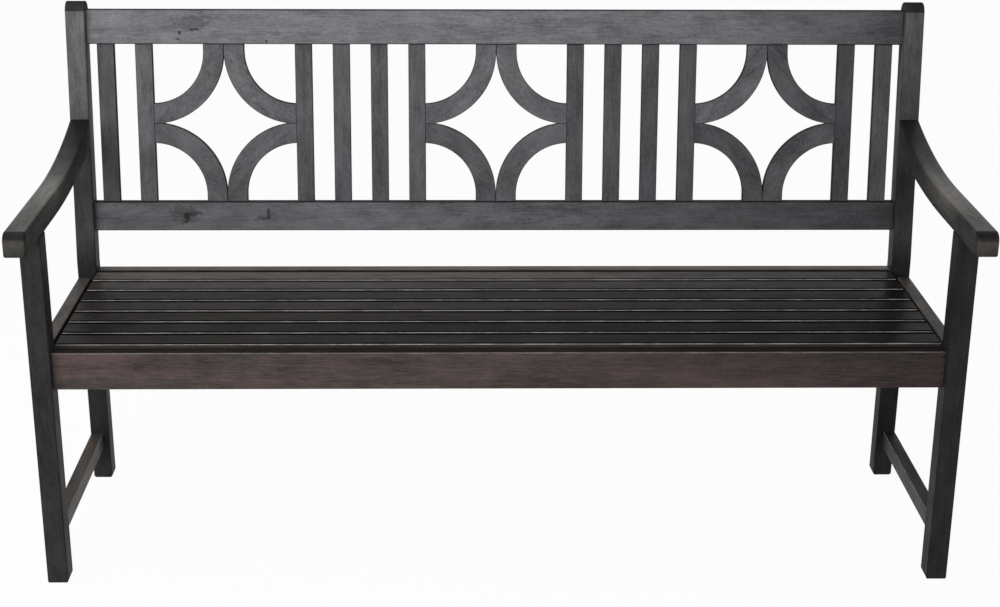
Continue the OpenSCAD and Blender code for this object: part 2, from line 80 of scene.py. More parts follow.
# Share of a rounding's radius that holds its middle but not its two borders
INNER = 0.95

# Rounding of the bearer and the cleats, and of the seat slats' lower edges and ends
HIDDEN_EDGE = 0.6 * MM
LOWER_EDGE = 0.8 * MM

# Openings over the fasteners, as the CAD has them, and how far a cutter reaches
RECESS_RADIUS = 7 * MM
NUT_HOLE_RADIUS = 5.15 * MM
NUT_HOLE_DEPTH = 3 * MM
COUNTERBORE_RADIUS = 4.15 * MM
SCREW_SEAT_RADIUS = 4.1 * MM
SCREW_SEAT_LENGTH = 0.8 * MM
CUTTER_REACH = 30 * MM

# Marks along the edges: above zero a painted highlight, below zero painted shade, and on the diamonds a
# darker seam
POST_SIDE_SHADE = -0.20
LEG_SIDE_SHADE = -0.25
ARM_SIDE_SHADE = -0.50
TURNED_AWAY_SHADE = -0.85
SIDE_RAIL_HIGHLIGHT = 0.50
APRON_TOP_SHADOW = -0.70
APRON_HIGHLIGHT = 0.35
SLAT_GAP_SHADE = -1.0
SLAT_HIGHLIGHT = 1.0
BELOW_ARRIS_HIGHLIGHT = 0.40
DIAMOND_SEAM = -0.30

# Painted light on single faces: the rear rail's top and the first slat's front
RAIL_TOP_LIGHT = 4.2
SLAT_FRONT_LIGHT = 1.6

# How strongly the boards of the seat frame, the seat and the diamonds show their figure
FRAME_FIGURE = 1.3
SEAT_FIGURE = 1.7
DIAMOND_FIGURE = 0.35

# The darkest mark, a painted shade: the share of the colour that it takes away, and its roughness
DARKEST_SHADE = 0.85
DARK_ROUGHNESS = 0.92

# Soft lights: size, place and target
LIGHTS = {
    "key_light": ((3.8, 0.6), (-1.7, -3.1, 1.18), (-0.4, 0.1, 0.8)),
    "top_light": ((2.4, 2.0), (-1.3, -0.4, 3.0), (-0.2, 0.1, 0.4)),
}

# The floor: its reach from the middle, its own tone, and how far the camera sees it glow instead
FLOOR_REACH = 12.0
FLOOR_TONE = 0.85
FLOOR_GLOW = 0.96


def length(name, default, description):
    """A setting for a length in metres."""
    return FloatProperty(name=name, description=description, default=default, unit="LENGTH")


def colour(name, default, description):
    """A setting for a colour."""
    return FloatVectorProperty(
        name=name, description=description, default=default, subtype="COLOR", min=0, max=1
    )


class BenchShape(bpy.types.PropertyGroup):
    """Sizes of the wooden pieces that their CAD boxes don't give."""

    lean: FloatProperty(
        name="Lean",
        description="Lean of the back from upright",
        default=math.radians(7),
        subtype="ANGLE",
        unit="ROTATION",
    )
    bend_height: length("Bend height", 0.430, "Height of the bend in the rear posts")
    post_depth: length("Post depth", 0.037, "Depth of a rear post")
    post_round: length("Post rounding", 0.018, "Rounding of the tops of the rear posts")
    foot_back: length("Foot offset", 0.007, "How far a rear foot stands behind the bend")
    arm_thickness: length("Armrest thickness", 0.038, "Thickness of an armrest where it is flat")
    arm_top_start: length(
        "Armrest top start", 0.150, "Where the top starts to curve up, behind the front of the leg"
    )
    arm_top_radius: length("Armrest top radius", 0.910, "Radius of the curve of the armrest's top")
    arm_under_start: length(
        "Armrest underside start",
        0.120,
        "Where the underside starts to curve up, behind the front of the leg",
    )
    arm_under_radius: length(
        "Armrest underside radius", 1.370, "Radius of the curve of the armrest's underside"
    )
    arm_nose: length("Armrest nose", 0.015, "Rounding of an armrest's top front edge")
    arm_edge: length("Armrest edges", 0.0032, "Rounding of an armrest's long edges and front end")
    arc_width: length("Diamond width", 0.036, "Width of a curved diamond piece")
    arc_past_slat: length(
        "Diamond centre", 0.003, "How far the centre of the curve lies inside the neighbouring slat"
    )
    arc_lap: length("Diamond lap", 0.001, "How far a diamond piece runs flat against its mirror image")
    frame_edge: length("Frame edges", 0.0024, "Rounding of the edges of posts, legs and rails")
    thin_edge: length("Thin edges", 0.0012, "Rounding of the edges of the back slats and diamond pieces")
    seat_edge: length("Seat edges", 0.0025, "Rounding of the top edges of the seat slats")
    foot_ease: length("Foot easing", 0.005, "Chamfer round the bottom of each foot")


class BenchFinish(bpy.types.PropertyGroup):
    """Colours of the stained wood, the painted highlights on its edges, and the fasteners."""

    frame_stain: colour(
        "Frame stain", (0.0240, 0.0235, 0.0245), "Stain of the posts, legs and side rails"
    )
    arm_stain: colour("Armrest stain", (0.0432, 0.0415, 0.0388), "Stain of the armrests")
    back_stain: colour(
        "Back stain", (0.0600, 0.0595, 0.0645), "Stain of the back rails, slats and diamonds"
    )
    seat_stain: colour("Seat stain", (0.0262, 0.0236, 0.0214), "Stain of the seat slats and their rails")
    bare_wood: colour("Bare wood", (0.50, 0.36, 0.20), "Colour of the unstained dowels")
    zinc: colour("Zinc", (0.55, 0.56, 0.58), "Colour of the plated bolts, washers, nuts and screws")
    # Painted highlights along the edges, broken up by noise
    highlit: colour("Rubbed edges", (0.350, 0.350, 0.362), "Colour of the stain along rubbed edges")


class BenchStage(bpy.types.PropertyGroup):
    """Camera, floor and light."""

    camera_place: FloatVectorProperty(
        name="Camera place",
        description="Where the camera stands",
        default=(-0.0694, -2.8617, 1.4557),
        subtype="TRANSLATION",
        unit="LENGTH",
    )
    camera_turn: FloatVectorProperty(
        name="Camera turn",
        description="The camera's tilt, its roll in the picture, and its turn about the vertical",
        default=(math.radians(70.15), math.radians(0.319), math.radians(-1.181)),
        subtype="EULER",
        unit="ROTATION",
    )
    lens: FloatProperty(
        name="Lens",
        description="Focal length on a 36 mm wide sensor",
        default=64.70,
        unit="CAMERA",
    )
    camera_shift: FloatVectorProperty(
        name="Camera shift",
        description="Shift of the picture, as a share of its width",
        default=(0.0079, 0.0001),
        size=2,
    )
    pale: colour("Floor and backdrop", (1.0, 1.0, 1.0), "Colour of the floor and the backdrop")
    key_power: FloatProperty(
        name="Key light",
        description="Power of the soft light at the front left, in watts",
        default=85.0,
    )
    top_power: FloatProperty(
        name="Top light",
        description="Power of the soft light overhead, in watts",
        default=26.0,
    )
    ambient: FloatProperty(
        name="Ambient",
        description="Strength of the light from all round, at the horizon, from where it fades upwards",
        default=1.6,
    )


# Shader nodes


class Value:
    """A shader socket that takes part in Python expressions on numbers."""

    def __init__(self, shader, socket):
        self.shader = shader
        self.socket = socket

    def maths(self, operation, first, second):
        settings = {"operation": operation}
        return self.shader.node("ShaderNodeMath", settings, {0: first, 1: second})

    def __add__(self, other):
        return self.maths("ADD", self, other)

    def __radd__(self, other):
        return self.maths("ADD", other, self)

    def __sub__(self, other):
        return self.maths("SUBTRACT", self, other)

    def __rsub__(self, other):
        return self.maths("SUBTRACT", other, self)

    def __mul__(self, other):
        return self.maths("MULTIPLY", self, other)

    def __rmul__(self, other):
        return self.maths("MULTIPLY", other, self)


class Nodes:
    """A tree of shader nodes that grows by expressions."""

    def __init__(self, tree):
        self.tree = tree

    def node(self, kind, settings=None, values=None, output=0):
        """Adds a node: its settings first, then the values or links of its sockets."""
        node = self.tree.nodes.new(kind)
        for key, setting in (settings or {}).items():
            if key == "stops":
                self.set_stops(node.color_ramp, setting)
            else:
                setattr(node, key, setting)
        for key, value in (values or {}).items():
            self.set_input(node.inputs[key], value)
        return Value(self, node.outputs[output])

    def set_input(self, socket, value):
        if isinstance(value, Value):
            self.tree.links.new(value.socket, socket)
        else:
            socket.default_value = value

    def set_stops(self, ramp, stops):
        for position, _ in stops[2:]:
            ramp.elements.new(position)
        for element, (position, level) in zip(ramp.elements, stops):
            element.position = position
            element.color = (level, level, level, 1)

    def attribute(self, name, output="Vector"):
        return self.node("ShaderNodeAttribute", {"attribute_name": name}, output=output)

    def object_place(self):
        return self.node("ShaderNodeTexCoord", output="Object")

    def vector(self, operation, first, second=(0.0, 0.0, 0.0), output="Vector"):
        """Maths on vectors."""
        settings = {"operation": operation}
        return self.node("ShaderNodeVectorMath", settings, {0: first, 1: second}, output)

    def parts(self, vector):
        """The three numbers of a vector."""
        outputs = self.node("ShaderNodeSeparateXYZ", None, {0: vector}).socket.node.outputs
        return [Value(self, outputs[name]) for name in "XYZ"]

    def clamped(self, value, top=1.0):
        return self.node("ShaderNodeClamp", None, {0: value, 2: top})

    def noise(self, vector, scale, detail=2.0, rough=0.5, output="Fac"):
        """Noise whose grain is set by a scale for each axis, per metre."""
        values = {
            "Vector": self.vector("MULTIPLY", vector, scale),
            "Scale": 1.0,
            "Detail": detail,
            "Roughness": rough,
        }
        return self.node("ShaderNodeTexNoise", None, values, output)

    def ramp(self, value, stops):
        node = self.node("ShaderNodeValToRGB", {"stops": stops}, {0: value})
        node.socket.node.color_ramp.interpolation = "EASE"
        return node

    def blend(self, factor, first, second, mode="MIX"):
        """Mixes two colours."""
        settings = {"data_type": "RGBA", "blend_type": mode}
        return self.node("ShaderNodeMix", settings, {0: factor, 6: first, 7: second}, 2)

    def tinted(self, first, second):
        """Two colours multiplied, channel by channel."""
        return self.blend(1.0, first, second, "MULTIPLY")

    def grey(self, level):
        return self.node("ShaderNodeCombineXYZ", None, {0: level, 1: level, 2: level})


class Shader(Nodes):
    """The nodes of one material around a Principled shader."""

    def __init__(self, name, constants):
        self.material = bpy.data.materials.new(name)
        self.material.use_nodes = True
        super().__init__(self.material.node_tree)
        self.surface = self.tree.nodes["Principled BSDF"]
        for socket, value in constants.items():
            self.surface.inputs[socket].default_value = value

    def feed(self, socket, value):
        self.set_input(self.surface.inputs[socket], value)

    def bump(self, height, depth):
        """Feeds the surface's normal from a height field, with its depth in metres."""
        values = {"Height": height, "Distance": depth, "Strength": 1.0}
        self.feed("Normal", self.node("ShaderNodeBump", None, values))


def rgba(colour, level=1.0):
    return tuple(channel * level for channel in colour) + (1.0,)


# Gloss of each stain: its strength, its roughness and its tint
GLOSS = {
    "frame_wood": (0.05, 0.42, (0.98, 0.98, 1.0)),
    "arm_wood": (0.09, 0.40, (1.0, 0.97, 0.93)),
    "back_wood": (0.10, 0.36, (0.975, 0.975, 1.0)),
    "seat_wood": (0.02, 0.32, (1.0, 0.96, 0.92)),
}

# Tint of the warmer patches of each stain
WARM = {
    "frame_wood": (1.22, 1.0, 0.78),
    "arm_wood": (1.20, 1.0, 0.86),
    "back_wood": (1.30, 0.98, 0.92),
    "seat_wood": (1.26, 0.95, 1.02),
}

# Dark spots on the back rails: x and z of the middle, half length, half height, depth of tone
SPOTS = (
    (-0.5546, 0.8304, 0.0040, 0.0042, 0.80),
    (-0.5310, 0.8363, 0.0130, 0.0024, 0.60),
    (-0.5360, 0.8480, 0.0420, 0.0170, 0.42),
    (-0.5580, 0.8205, 0.0070, 0.0026, 0.65),
    (-0.4031, 0.8165, 0.0022, 0.0042, 0.75),
    (-0.3870, 0.8300, 0.0160, 0.0060, 0.30),
    (-0.5560, 0.5120, 0.0330, 0.0210, 0.40),
    (-0.5525, 0.5055, 0.0070, 0.0090, 0.60),
    (-0.5400, 0.5130, 0.0200, 0.0050, 0.35),
    (-0.4071, 0.5115, 0.0045, 0.0140, 0.60),
    (-0.4160, 0.5045, 0.0190, 0.0045, 0.45),
)
DEEPEST_SPOT = 0.85

# Painted light and shade along the bench, mostly falling off from left to right as the key light does:
# places and levels
SEAT_SHADE = ((-0.714, 1.12), (-0.25, 1.30), (0.10, 1.02), (0.30, 0.80), (0.714, 0.33))
APRON_SHADE = ((-0.714, 1.18), (-0.25, 1.20), (0.10, 1.03), (0.30, 0.87), (0.714, 0.76))
TOP_RAIL_SHADE = ((-0.714, 0.97), (-0.25, 0.93), (0.10, 1.13), (0.30, 1.05), (0.714, 0.52))
LOWER_RAIL_SHADE = ((-0.714, 0.96), (-0.25, 1.15), (0.10, 1.19), (0.30, 0.80), (0.714, 0.50))

# Painted light and shade up a rear post by height: shaded from the foot to the seat, a painted shadow
# under the armrest, and painted light towards the top
POST_SHADE = (
    (0.0, 0.60), (0.10, 0.42), (0.43, 0.45), (0.48, 0.95), (0.57, 0.60), (0.66, 1.34), (0.885, 2.35),
)

# Painted highlight and shade on the front end of an armrest, by the height above its underside: a bright
# band where the top starts to round over, shaded above and below it
NOSE_SHADE = ((0.0, 0.55), (0.008, 0.90), (0.020, 1.60), (0.024, 1.00), (0.028, 0.35), (0.033, 0.20))


def numbered(pattern, tones):
    """Tones of pieces that a pattern numbers from one."""
    return {pattern % number: tone for number, tone in enumerate(tones, 1)}


# How light each piece is beside the others of its kind: partly its own lightness, and partly painted
# light, lighter on the left, up the back and on the rearmost seat slat
TONES_AND_LIGHT = {
    "top_back_rail": 2.08,
    "lower_back_rail": 1.42,
    "left_rear_post": 1.90,
    "right_rear_post": 1.32,
    "left_front_leg": 1.00,
    "right_front_leg": 0.76,
    "left_armrest": 0.88,
    "right_armrest": 0.92,
    "left_lower_stretcher": 2.30,
    "right_lower_stretcher": 1.10,
    "left_seat_side_rail": 3.40,
    "right_seat_side_rail": 2.60,
    "front_seat_rail": 1.80,
    "rear_seat_rail": 1.20,
    **numbered("seat_slat_%d", (0.85, 0.65, 1.00, 1.20, 0.80, 1.65, 3.20)),
    **numbered("back_slat_%d", (0.88, 1.28, 0.98, 1.10, 1.08, 1.23, 1.14, 1.06, 0.98, 0.95, 0.85, 1.11)),
    **numbered("diamond_%d_lower_left", (1.15, 1.07, 0.95)),
    **numbered("diamond_%d_lower_right", (1.24, 1.29, 1.22)),
    **numbered("diamond_%d_upper_left", (1.48, 1.54, 1.48)),
    **numbered("diamond_%d_upper_right", (1.52, 1.40, 1.04)),
}


def stained_wood(name, slot, stain, finish):
    """Dark stain on a straight-grained hardwood, read along each piece's own grain, with painted
    highlights and shade.
    """
    strength, roughness, tint = GLOSS[slot]
    shader = Shader(name, {"Specular IOR Level": strength, "Specular Tint": rgba(tint)})
    grain = shader.attribute("grain")
    tone, warmth, figure = shader.parts(shader.attribute("board"))
    # The edge mark: above zero a painted highlight, below zero painted shade, and on the diamonds a
    # darker seam
    edge = shader.attribute("edge", "Fac")
    highlit = shader.clamped(edge)
    shade_and_seam = shader.clamped(0 - edge)

    sway = shader.noise(grain, (3.0, 11.0, 11.0), 2.0, output="Color")
    shift = shader.vector("MULTIPLY", sway, (0.0, 0.010, 0.010))
    bent = shader.vector("ADD", grain, shift)

    bands = shader.noise(bent, (4.0, 75.0, 75.0), 3.0, 0.6)
    streaks = shader.noise(bent, (26.0, 400.0, 400.0), 3.0, 0.65)
    fibres = shader.noise(bent, (150.0, 1500.0, 1500.0), 2.0, 0.5)
    mottle = shader.noise(grain, (150.0, 260.0, 260.0), 3.0, 0.6)
    blotches = shader.noise(bent, (17.0, 42.0, 42.0), 4.0, 0.6)
    clouds = shader.noise(grain, (3.0, 9.0, 9.0), 2.0, 0.5)
    pores = shader.ramp(shader.noise(bent, (60.0, 900.0, 900.0), 1.0), [(0.62, 0.0), (0.72, 1.0)])

    level = (
        1.0
        + 0.55 * (bands - 0.5) * figure
        + 1.0 * (streaks - 0.5) * figure
        + (1.5 - 0.7 * figure) * (mottle - 0.5)
        + (1.9 - 0.7 * figure) * (blotches - 0.5)
        + 0.8 * (clouds - 0.5)
        + 0.3 * (fibres - 0.5)
        - 0.3 * pores
    )
    if slot == "back_wood":
        level = level * (1 - spots(shader, mottle))
    # The tone carries painted light and shade as well as each piece's own lightness
    plain = shader.tinted(rgba(stain), shader.grey(level * tone))
    patches = shader.ramp(bands * 0.6 + blotches * 0.4, [(0.34, 0.15), (0.68, 0.70)])
    warm = shader.blend(patches * warmth, plain, shader.tinted(plain, rgba(WARM[slot])))
    # Painted highlights along the marked edges, broken up by noise, with painted shade laid over them
    highlight_breakup = shader.ramp(shader.noise(grain, (25.0, 120.0, 120.0), 3.0, 0.7), [(0.40, 0.45), (0.62, 1.0)])
    highlighted = shader.blend(highlit * highlight_breakup, warm, rgba(finish.highlit))
    shader.feed("Base Color", shader.tinted(highlighted, shader.grey(1 - DARKEST_SHADE * shade_and_seam)))
    shader.feed("Roughness", (
        roughness
        + (DARK_ROUGHNESS - roughness) * shade_and_seam
        + 0.16 * (0.5 - streaks)
        + 0.24 * (0.5 - blotches)
        + 0.10 * (0.5 - bands)
        + 0.08 * pores
    ))
    shader.bump(0.45 * streaks + 0.25 * fibres + 0.2 * bands - 0.6 * pores, 0.00010)
    return shader.material


def spots(shader, mottle):
    """Knots and stained patches of the back rails, with frayed rims."""
    place = shader.object_place()
    total = 0.0
    for x, z, half_length, half_height, depth in SPOTS:
        offset = shader.vector("SUBTRACT", place, (x, 0.0, z))
        stretched = shader.vector("MULTIPLY", offset, (1 / half_length, 0.0, 1 / half_height))
        reach = shader.vector("LENGTH", stretched, output="Value")
        total = total + depth * shader.ramp(reach + 1.4 * (mottle - 0.5), [(0.45, 1.0), (1.15, 0.0)])
    return shader.clamped(total, DEEPEST_SPOT)


def bare_wood(finish):
    """Pale beech of the hidden dowels, with its short darker flecks."""
    shader = Shader("bare_dowel_wood", {"Specular IOR Level": 0.3})
    place = shader.object_place()
    lines = shader.noise(place, (60.0, 500.0, 500.0), 3.0, 0.6)
    flecks = shader.ramp(shader.noise(place, (300.0, 1500.0, 1500.0), 1.0), [(0.60, 0.0), (0.70, 1.0)])
    base = shader.blend(lines, rgba(finish.bare_wood, 0.8), rgba(finish.bare_wood, 1.15))
    shader.feed("Base Color", shader.blend(flecks * 0.5, base, rgba(finish.bare_wood, 0.5)))
    shader.feed("Roughness", 0.55 + 0.2 * lines)
    shader.bump(lines - 0.4 * flecks, 0.0002)
    return shader.material


def zinc_plate(finish):
    """Bright zinc with faint clouding and fine scratches."""
    shader = Shader("zinc_plate", {"Metallic": 1.0})
    place = shader.object_place()
    clouds = shader.noise(place, (180.0, 180.0, 180.0), 3.0, 0.6)
    scratches = shader.noise(place, (500.0, 4000.0, 900.0), 2.0, 0.5)
    shader.feed("Base Color", shader.blend(clouds, rgba(finish.zinc, 0.75), rgba(finish.zinc, 1.2)))
    shader.feed("Roughness", 0.26 + 0.2 * clouds + 0.1 * scratches)
    shader.bump(0.3 * scratches + 0.2 * clouds, 0.00008)
    return shader.material


def wood_of(slot):
    """The stained wood of one of the record's slots, made when it is first asked for."""
    finish = bpy.context.scene.bench_finish
    name = "stained_" + slot
    stain = getattr(finish, slot.replace("_wood", "_stain"))
    return bpy.data.materials.get(name) or stained_wood(name, slot, stain, finish)


# Places


def corners(points):
    """Lowest and highest corner of some points."""
    columns = list(zip(*points))
    return Vector([min(c) for c in columns]), Vector([max(c) for c in columns])


def box_along(node, place):
    """Corners of a CAD node's box, measured along the axes of a place."""
    turn = place.inverted()
    return corners([turn @ v.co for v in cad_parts[node].data.vertices])


@functools.cache
def islands(node):
    """Boxes of the separate solids of a CAD node."""
    bm = bmesh.new()
    bm.from_mesh(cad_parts[node].data)
    bmesh.ops.remove_doubles(bm, verts=bm.verts, dist=TINY)
    left = set(bm.verts)
    found = []
    while left:
        island = {left.pop()}
        reached = list(island)
        while reached:
            vert = reached.pop()
            for edge in vert.link_edges:
                other = edge.other_vert(vert)
                if other in left:
                    left.discard(other)
                    island.add(other)
                    reached.append(other)
        found.append(corners([v.co for v in island]))
    bm.free()
    return sorted(found, key=lambda box: tuple(round(c, 5) for c in box[0]))


def solids(node):
    """Middle and size of each separate solid of a CAD node."""
    return [((low + high) / 2, high - low) for low, high in islands(node)]


def rake():
    """The raked back's own place: x along the bench, y back from the posts, z up the rake."""
    shape = bpy.context.scene.bench_shape
    return Matrix.Translation((0, BEND_Y, shape.bend_height)) @ Matrix.Rotation(-shape.lean, 4, "X")


def opening(place):
    """Lower and upper end of the openings between the back rails, up the rake."""
    return box_along("lower_back_rail", place)[1].z, box_along("top_back_rail", place)[0].z


def side_sign(side):
    return -1 if side == "left" else 1


def inner_x(low, high):
    """Where a box on one side of the bench is nearest to the other side."""
    return low.x if low.x > 0 else high.x


def turned_to(axis):
    """A turn that takes the vertical to an axis."""
    return UP.rotation_difference(axis).to_matrix().to_4x4()


# Meshes


def start():
    """An empty mesh with a layer for painted highlights and shade along its edges."""
    bm = bmesh.new()
    bm.verts.layers.float.new("edge")
    return bm


def block(low, high):
    """A box between two corners."""
    bm = start()
    bmesh.ops.create_cube(bm, size=1.0)
    bmesh.ops.scale(bm, vec=high - low, verts=bm.verts)
    bmesh.ops.translate(bm, vec=(low + high) / 2, verts=bm.verts)
    return bm


def cylinder(bm, radius, length, segments, place=Matrix.Identity(4)):
    """Adds a cylinder whose axis is the z of a place."""
    bmesh.ops.create_cone(
        bm, cap_ends=True, segments=segments, radius1=radius, radius2=radius, depth=length, matrix=place
    )


def rods(list_of_rods):
    """Cylinders as one mesh, each from a middle, an axis, a radius and a length."""
    bm = bmesh.new()
    for middle, axis, radius, length in list_of_rods:
        cylinder(bm, radius, length, 32, Matrix.Translation(middle) @ turned_to(axis))
    return bm


def everything(bm):
    return bm.verts[:] + bm.edges[:] + bm.faces[:]


def edges_along(bm, axis, least=LONG):
    """Edges that reach further than a length along an axis."""
    return [e for e in bm.edges if abs(e.verts[0].co[axis] - e.verts[1].co[axis]) > least]


def sharp(bm):
    """Edges where the surface turns by more than 40 degrees."""
    return [e for e in bm.edges if e.is_manifold and e.calc_face_angle() > math.radians(40)]


def drop_inner_faces(bm):
    """Deletes the faces that earlier ends left inside a piece."""
    inner = [f for f in bm.faces if all(len(e.link_faces) > 2 for e in f.edges)]
    bmesh.ops.delete(bm, geom=inner, context="FACES_ONLY")


def round_edges(bm, edges, radius, segments=3, clamp=True):
    """Rounds edges."""
    bmesh.ops.bevel(
        bm,
        geom=list(edges),
        offset=radius,
        offset_type="OFFSET",
        affect="EDGES",
        segments=segments,
        profile=0.5,
        material=-1,
        clamp_overlap=clamp,
    )


def ease_foot(bm, shape):
    """Chamfers the edges that stand on the floor."""
    bottom = [e for e in bm.edges if all(v.co.z < TINY for v in e.verts)]
    round_edges(bm, bottom, shape.foot_ease, segments=2)


def span(bm, axis, inset):
    """Both ends of a mesh along an axis, moved inwards by an inset."""
    places = [v.co[axis] for v in bm.verts]
    return min(places) + inset, max(places) - inset


def mark(bm, level, chosen):
    """Marks the chosen places with a level: painted highlight above zero, painted shade or a darker seam
    below zero.
    """
    edge = bm.verts.layers.float["edge"]
    for vert in bm.verts:
        if chosen(vert.co):
            vert[edge] = level


def mark_between(bm, level, axis, inset):
    """Marks what lies between the two ends of an axis, away from them by an inset."""
    low, high = span(bm, axis, inset)
    mark(bm, level, lambda point: low < point[axis] < high)


def mark_ends(bm, level, axis, inset):
    """Marks what lies within an inset of the two ends of an axis."""
    low, high = span(bm, axis, inset)
    mark(bm, level, lambda point: not low < point[axis] < high)


def rings(bm, axis, places):
    """Cuts a ring of points across a piece at each place that lies between its ends."""
    low, high = span(bm, axis, MM)
    normal = Vector([float(i == axis) for i in range(3)])
    for place in places:
        if low < place < high:
            bmesh.ops.bisect_plane(bm, geom=everything(bm), plane_co=normal * place, plane_no=normal)


def shade_along(axis, stops):
    """A shade that runs along an axis, from stops of a place and a level."""

    def shade(point):
        for (low, first), (high, last) in zip(stops, stops[1:]):
            if point[axis] < high:
                return first + (last - first) * max(point[axis] - low, 0) / (high - low)
        return stops[-1][1]

    return shade


def shaded(bm, axis, stops):
    """Cuts a ring at each stop of a shade along an axis, and gives the shade."""
    rings(bm, axis, [place for place, _ in stops])
    return shade_along(axis, stops)


def new_object(name, bm):
    bmesh.ops.recalc_face_normals(bm, faces=bm.faces)
    mesh = bpy.data.meshes.new(name)
    bm.to_mesh(mesh)
    bm.free()
    obj = bpy.data.objects.new(name, mesh)
    bpy.context.scene.collection.objects.link(obj)
    return obj


def smooth(mesh, angle):
    """Shades a mesh smooth, but not across edges that turn by more than an angle in degrees."""
    mesh.set_sharp_from_angle(angle=math.radians(angle))
    for polygon in mesh.polygons:
        polygon.use_smooth = True


def cut_out(obj, cutter_mesh):
    """Cuts holes in an object and leaves a plain mesh."""
    cutter = new_object(obj.name + "_cutter", cutter_mesh)
    holes = obj.modifiers.new("holes", "BOOLEAN")
    holes.operation = "DIFFERENCE"
    holes.solver = "EXACT"
    holes.object = cutter
    graph = bpy.context.evaluated_depsgraph_get()
    mesh = bpy.data.meshes.new_from_object(obj.evaluated_get(graph))
    obj.modifiers.clear()
    obj.data = mesh
    bpy.data.objects.remove(cutter)


def bolt_recesses(side, behind):
    """Recesses over the bolt heads of one leg or post, from the seats of their washers outwards."""
    sign = side_sign(side)
    found = []
    for middle, size in solids("bolt_washers"):
        if middle.x * sign > 0 and (middle.y > 0) == behind:
            axis = ALONG_X if size.x < size.y else ALONG_Y
            out = axis * (sign if axis.x else 1)
            seat = middle - out * min(size.x, size.y) / 2
            found.append((seat + out * CUTTER_REACH / 2, axis, RECESS_RADIUS, CUTTER_REACH))
    return rods(found)


def nut_holes(low, high, place):
    """Openings of the barrel nut holes in the rear face of a long rail."""
    found = []
    turn = place.inverted()
    back = place.to_3x3() @ ALONG_Y
    for middle, _ in solids("barrel_nuts"):
        local = turn @ middle
        if all(low[i] < local[i] < high[i] for i in range(3)):
            face = middle + back * (high.y - local.y)
            found.append((face, back, NUT_HOLE_RADIUS, 2 * NUT_HOLE_DEPTH))
    return rods(found)


# Wooden pieces


def own_grain(node, along):
    """Grain coordinates with their x along a direction, moved to a spot of their own.

    The growth rings' middle lies beside the piece, at an angle that the node's name decides.
    """
    dice = random.Random(node)
    axis = along.normalized()
    side = axis.orthogonal().normalized()
    turn = Matrix((axis, side, axis.cross(side)))
    spin = Matrix.Rotation(dice.uniform(0, 2 * math.pi), 3, "X")
    spot = Vector([dice.uniform(-20, 20) for _ in range(3)])
    middle = sum(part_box(node), Vector()) / 2
    return lambda point: spin @ turn @ (point - middle) + spot


def board_tone_and_light(node):
    """How light one piece is, painted light included, and how warm."""
    coolest, warmest = 0.0, 0.3
    if "back" in node or "diamond" in node:
        warmest = 0.25
    if "side_rail" in node or "stretcher" in node:
        coolest, warmest = 1.6, 2.0
    if node == "front_seat_rail":
        coolest, warmest = 1.1, 1.3
    return TONES_AND_LIGHT.get(node, 1.0), random.Random("warmth " + node).uniform(coolest, warmest)


def add_piece(bm, node, slot, grain, cutter=None, figure=1.0, shade=None):
    """Makes a piece from its mesh, with its holes, its grain, its stain and its place in the frame."""
    obj = new_object(node + "_stained", bm)
    if cutter is not None:
        cut_out(obj, cutter)
    mesh = obj.data
    smooth(mesh, 50)
    tone, warmth = board_tone_and_light(node)
    along = mesh.attributes.new("grain", "FLOAT_VECTOR", "POINT")
    board = mesh.attributes.new("board", "FLOAT_VECTOR", "POINT")
    for vert in mesh.vertices:
        along.data[vert.index].vector = grain(vert.co)
        # The shade paints light and shade into the tone, point by point
        local = shade(vert.co) if shade else 1.0
        board.data[vert.index].vector = (tone * local, warmth, figure)
    mesh.materials.clear()
    mesh.materials.append(wood_of(slot))
    normals = obj.modifiers.new("flat_faces", "WEIGHTED_NORMAL")
    normals.keep_sharp = True
    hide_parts(node)
    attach(obj, "root")


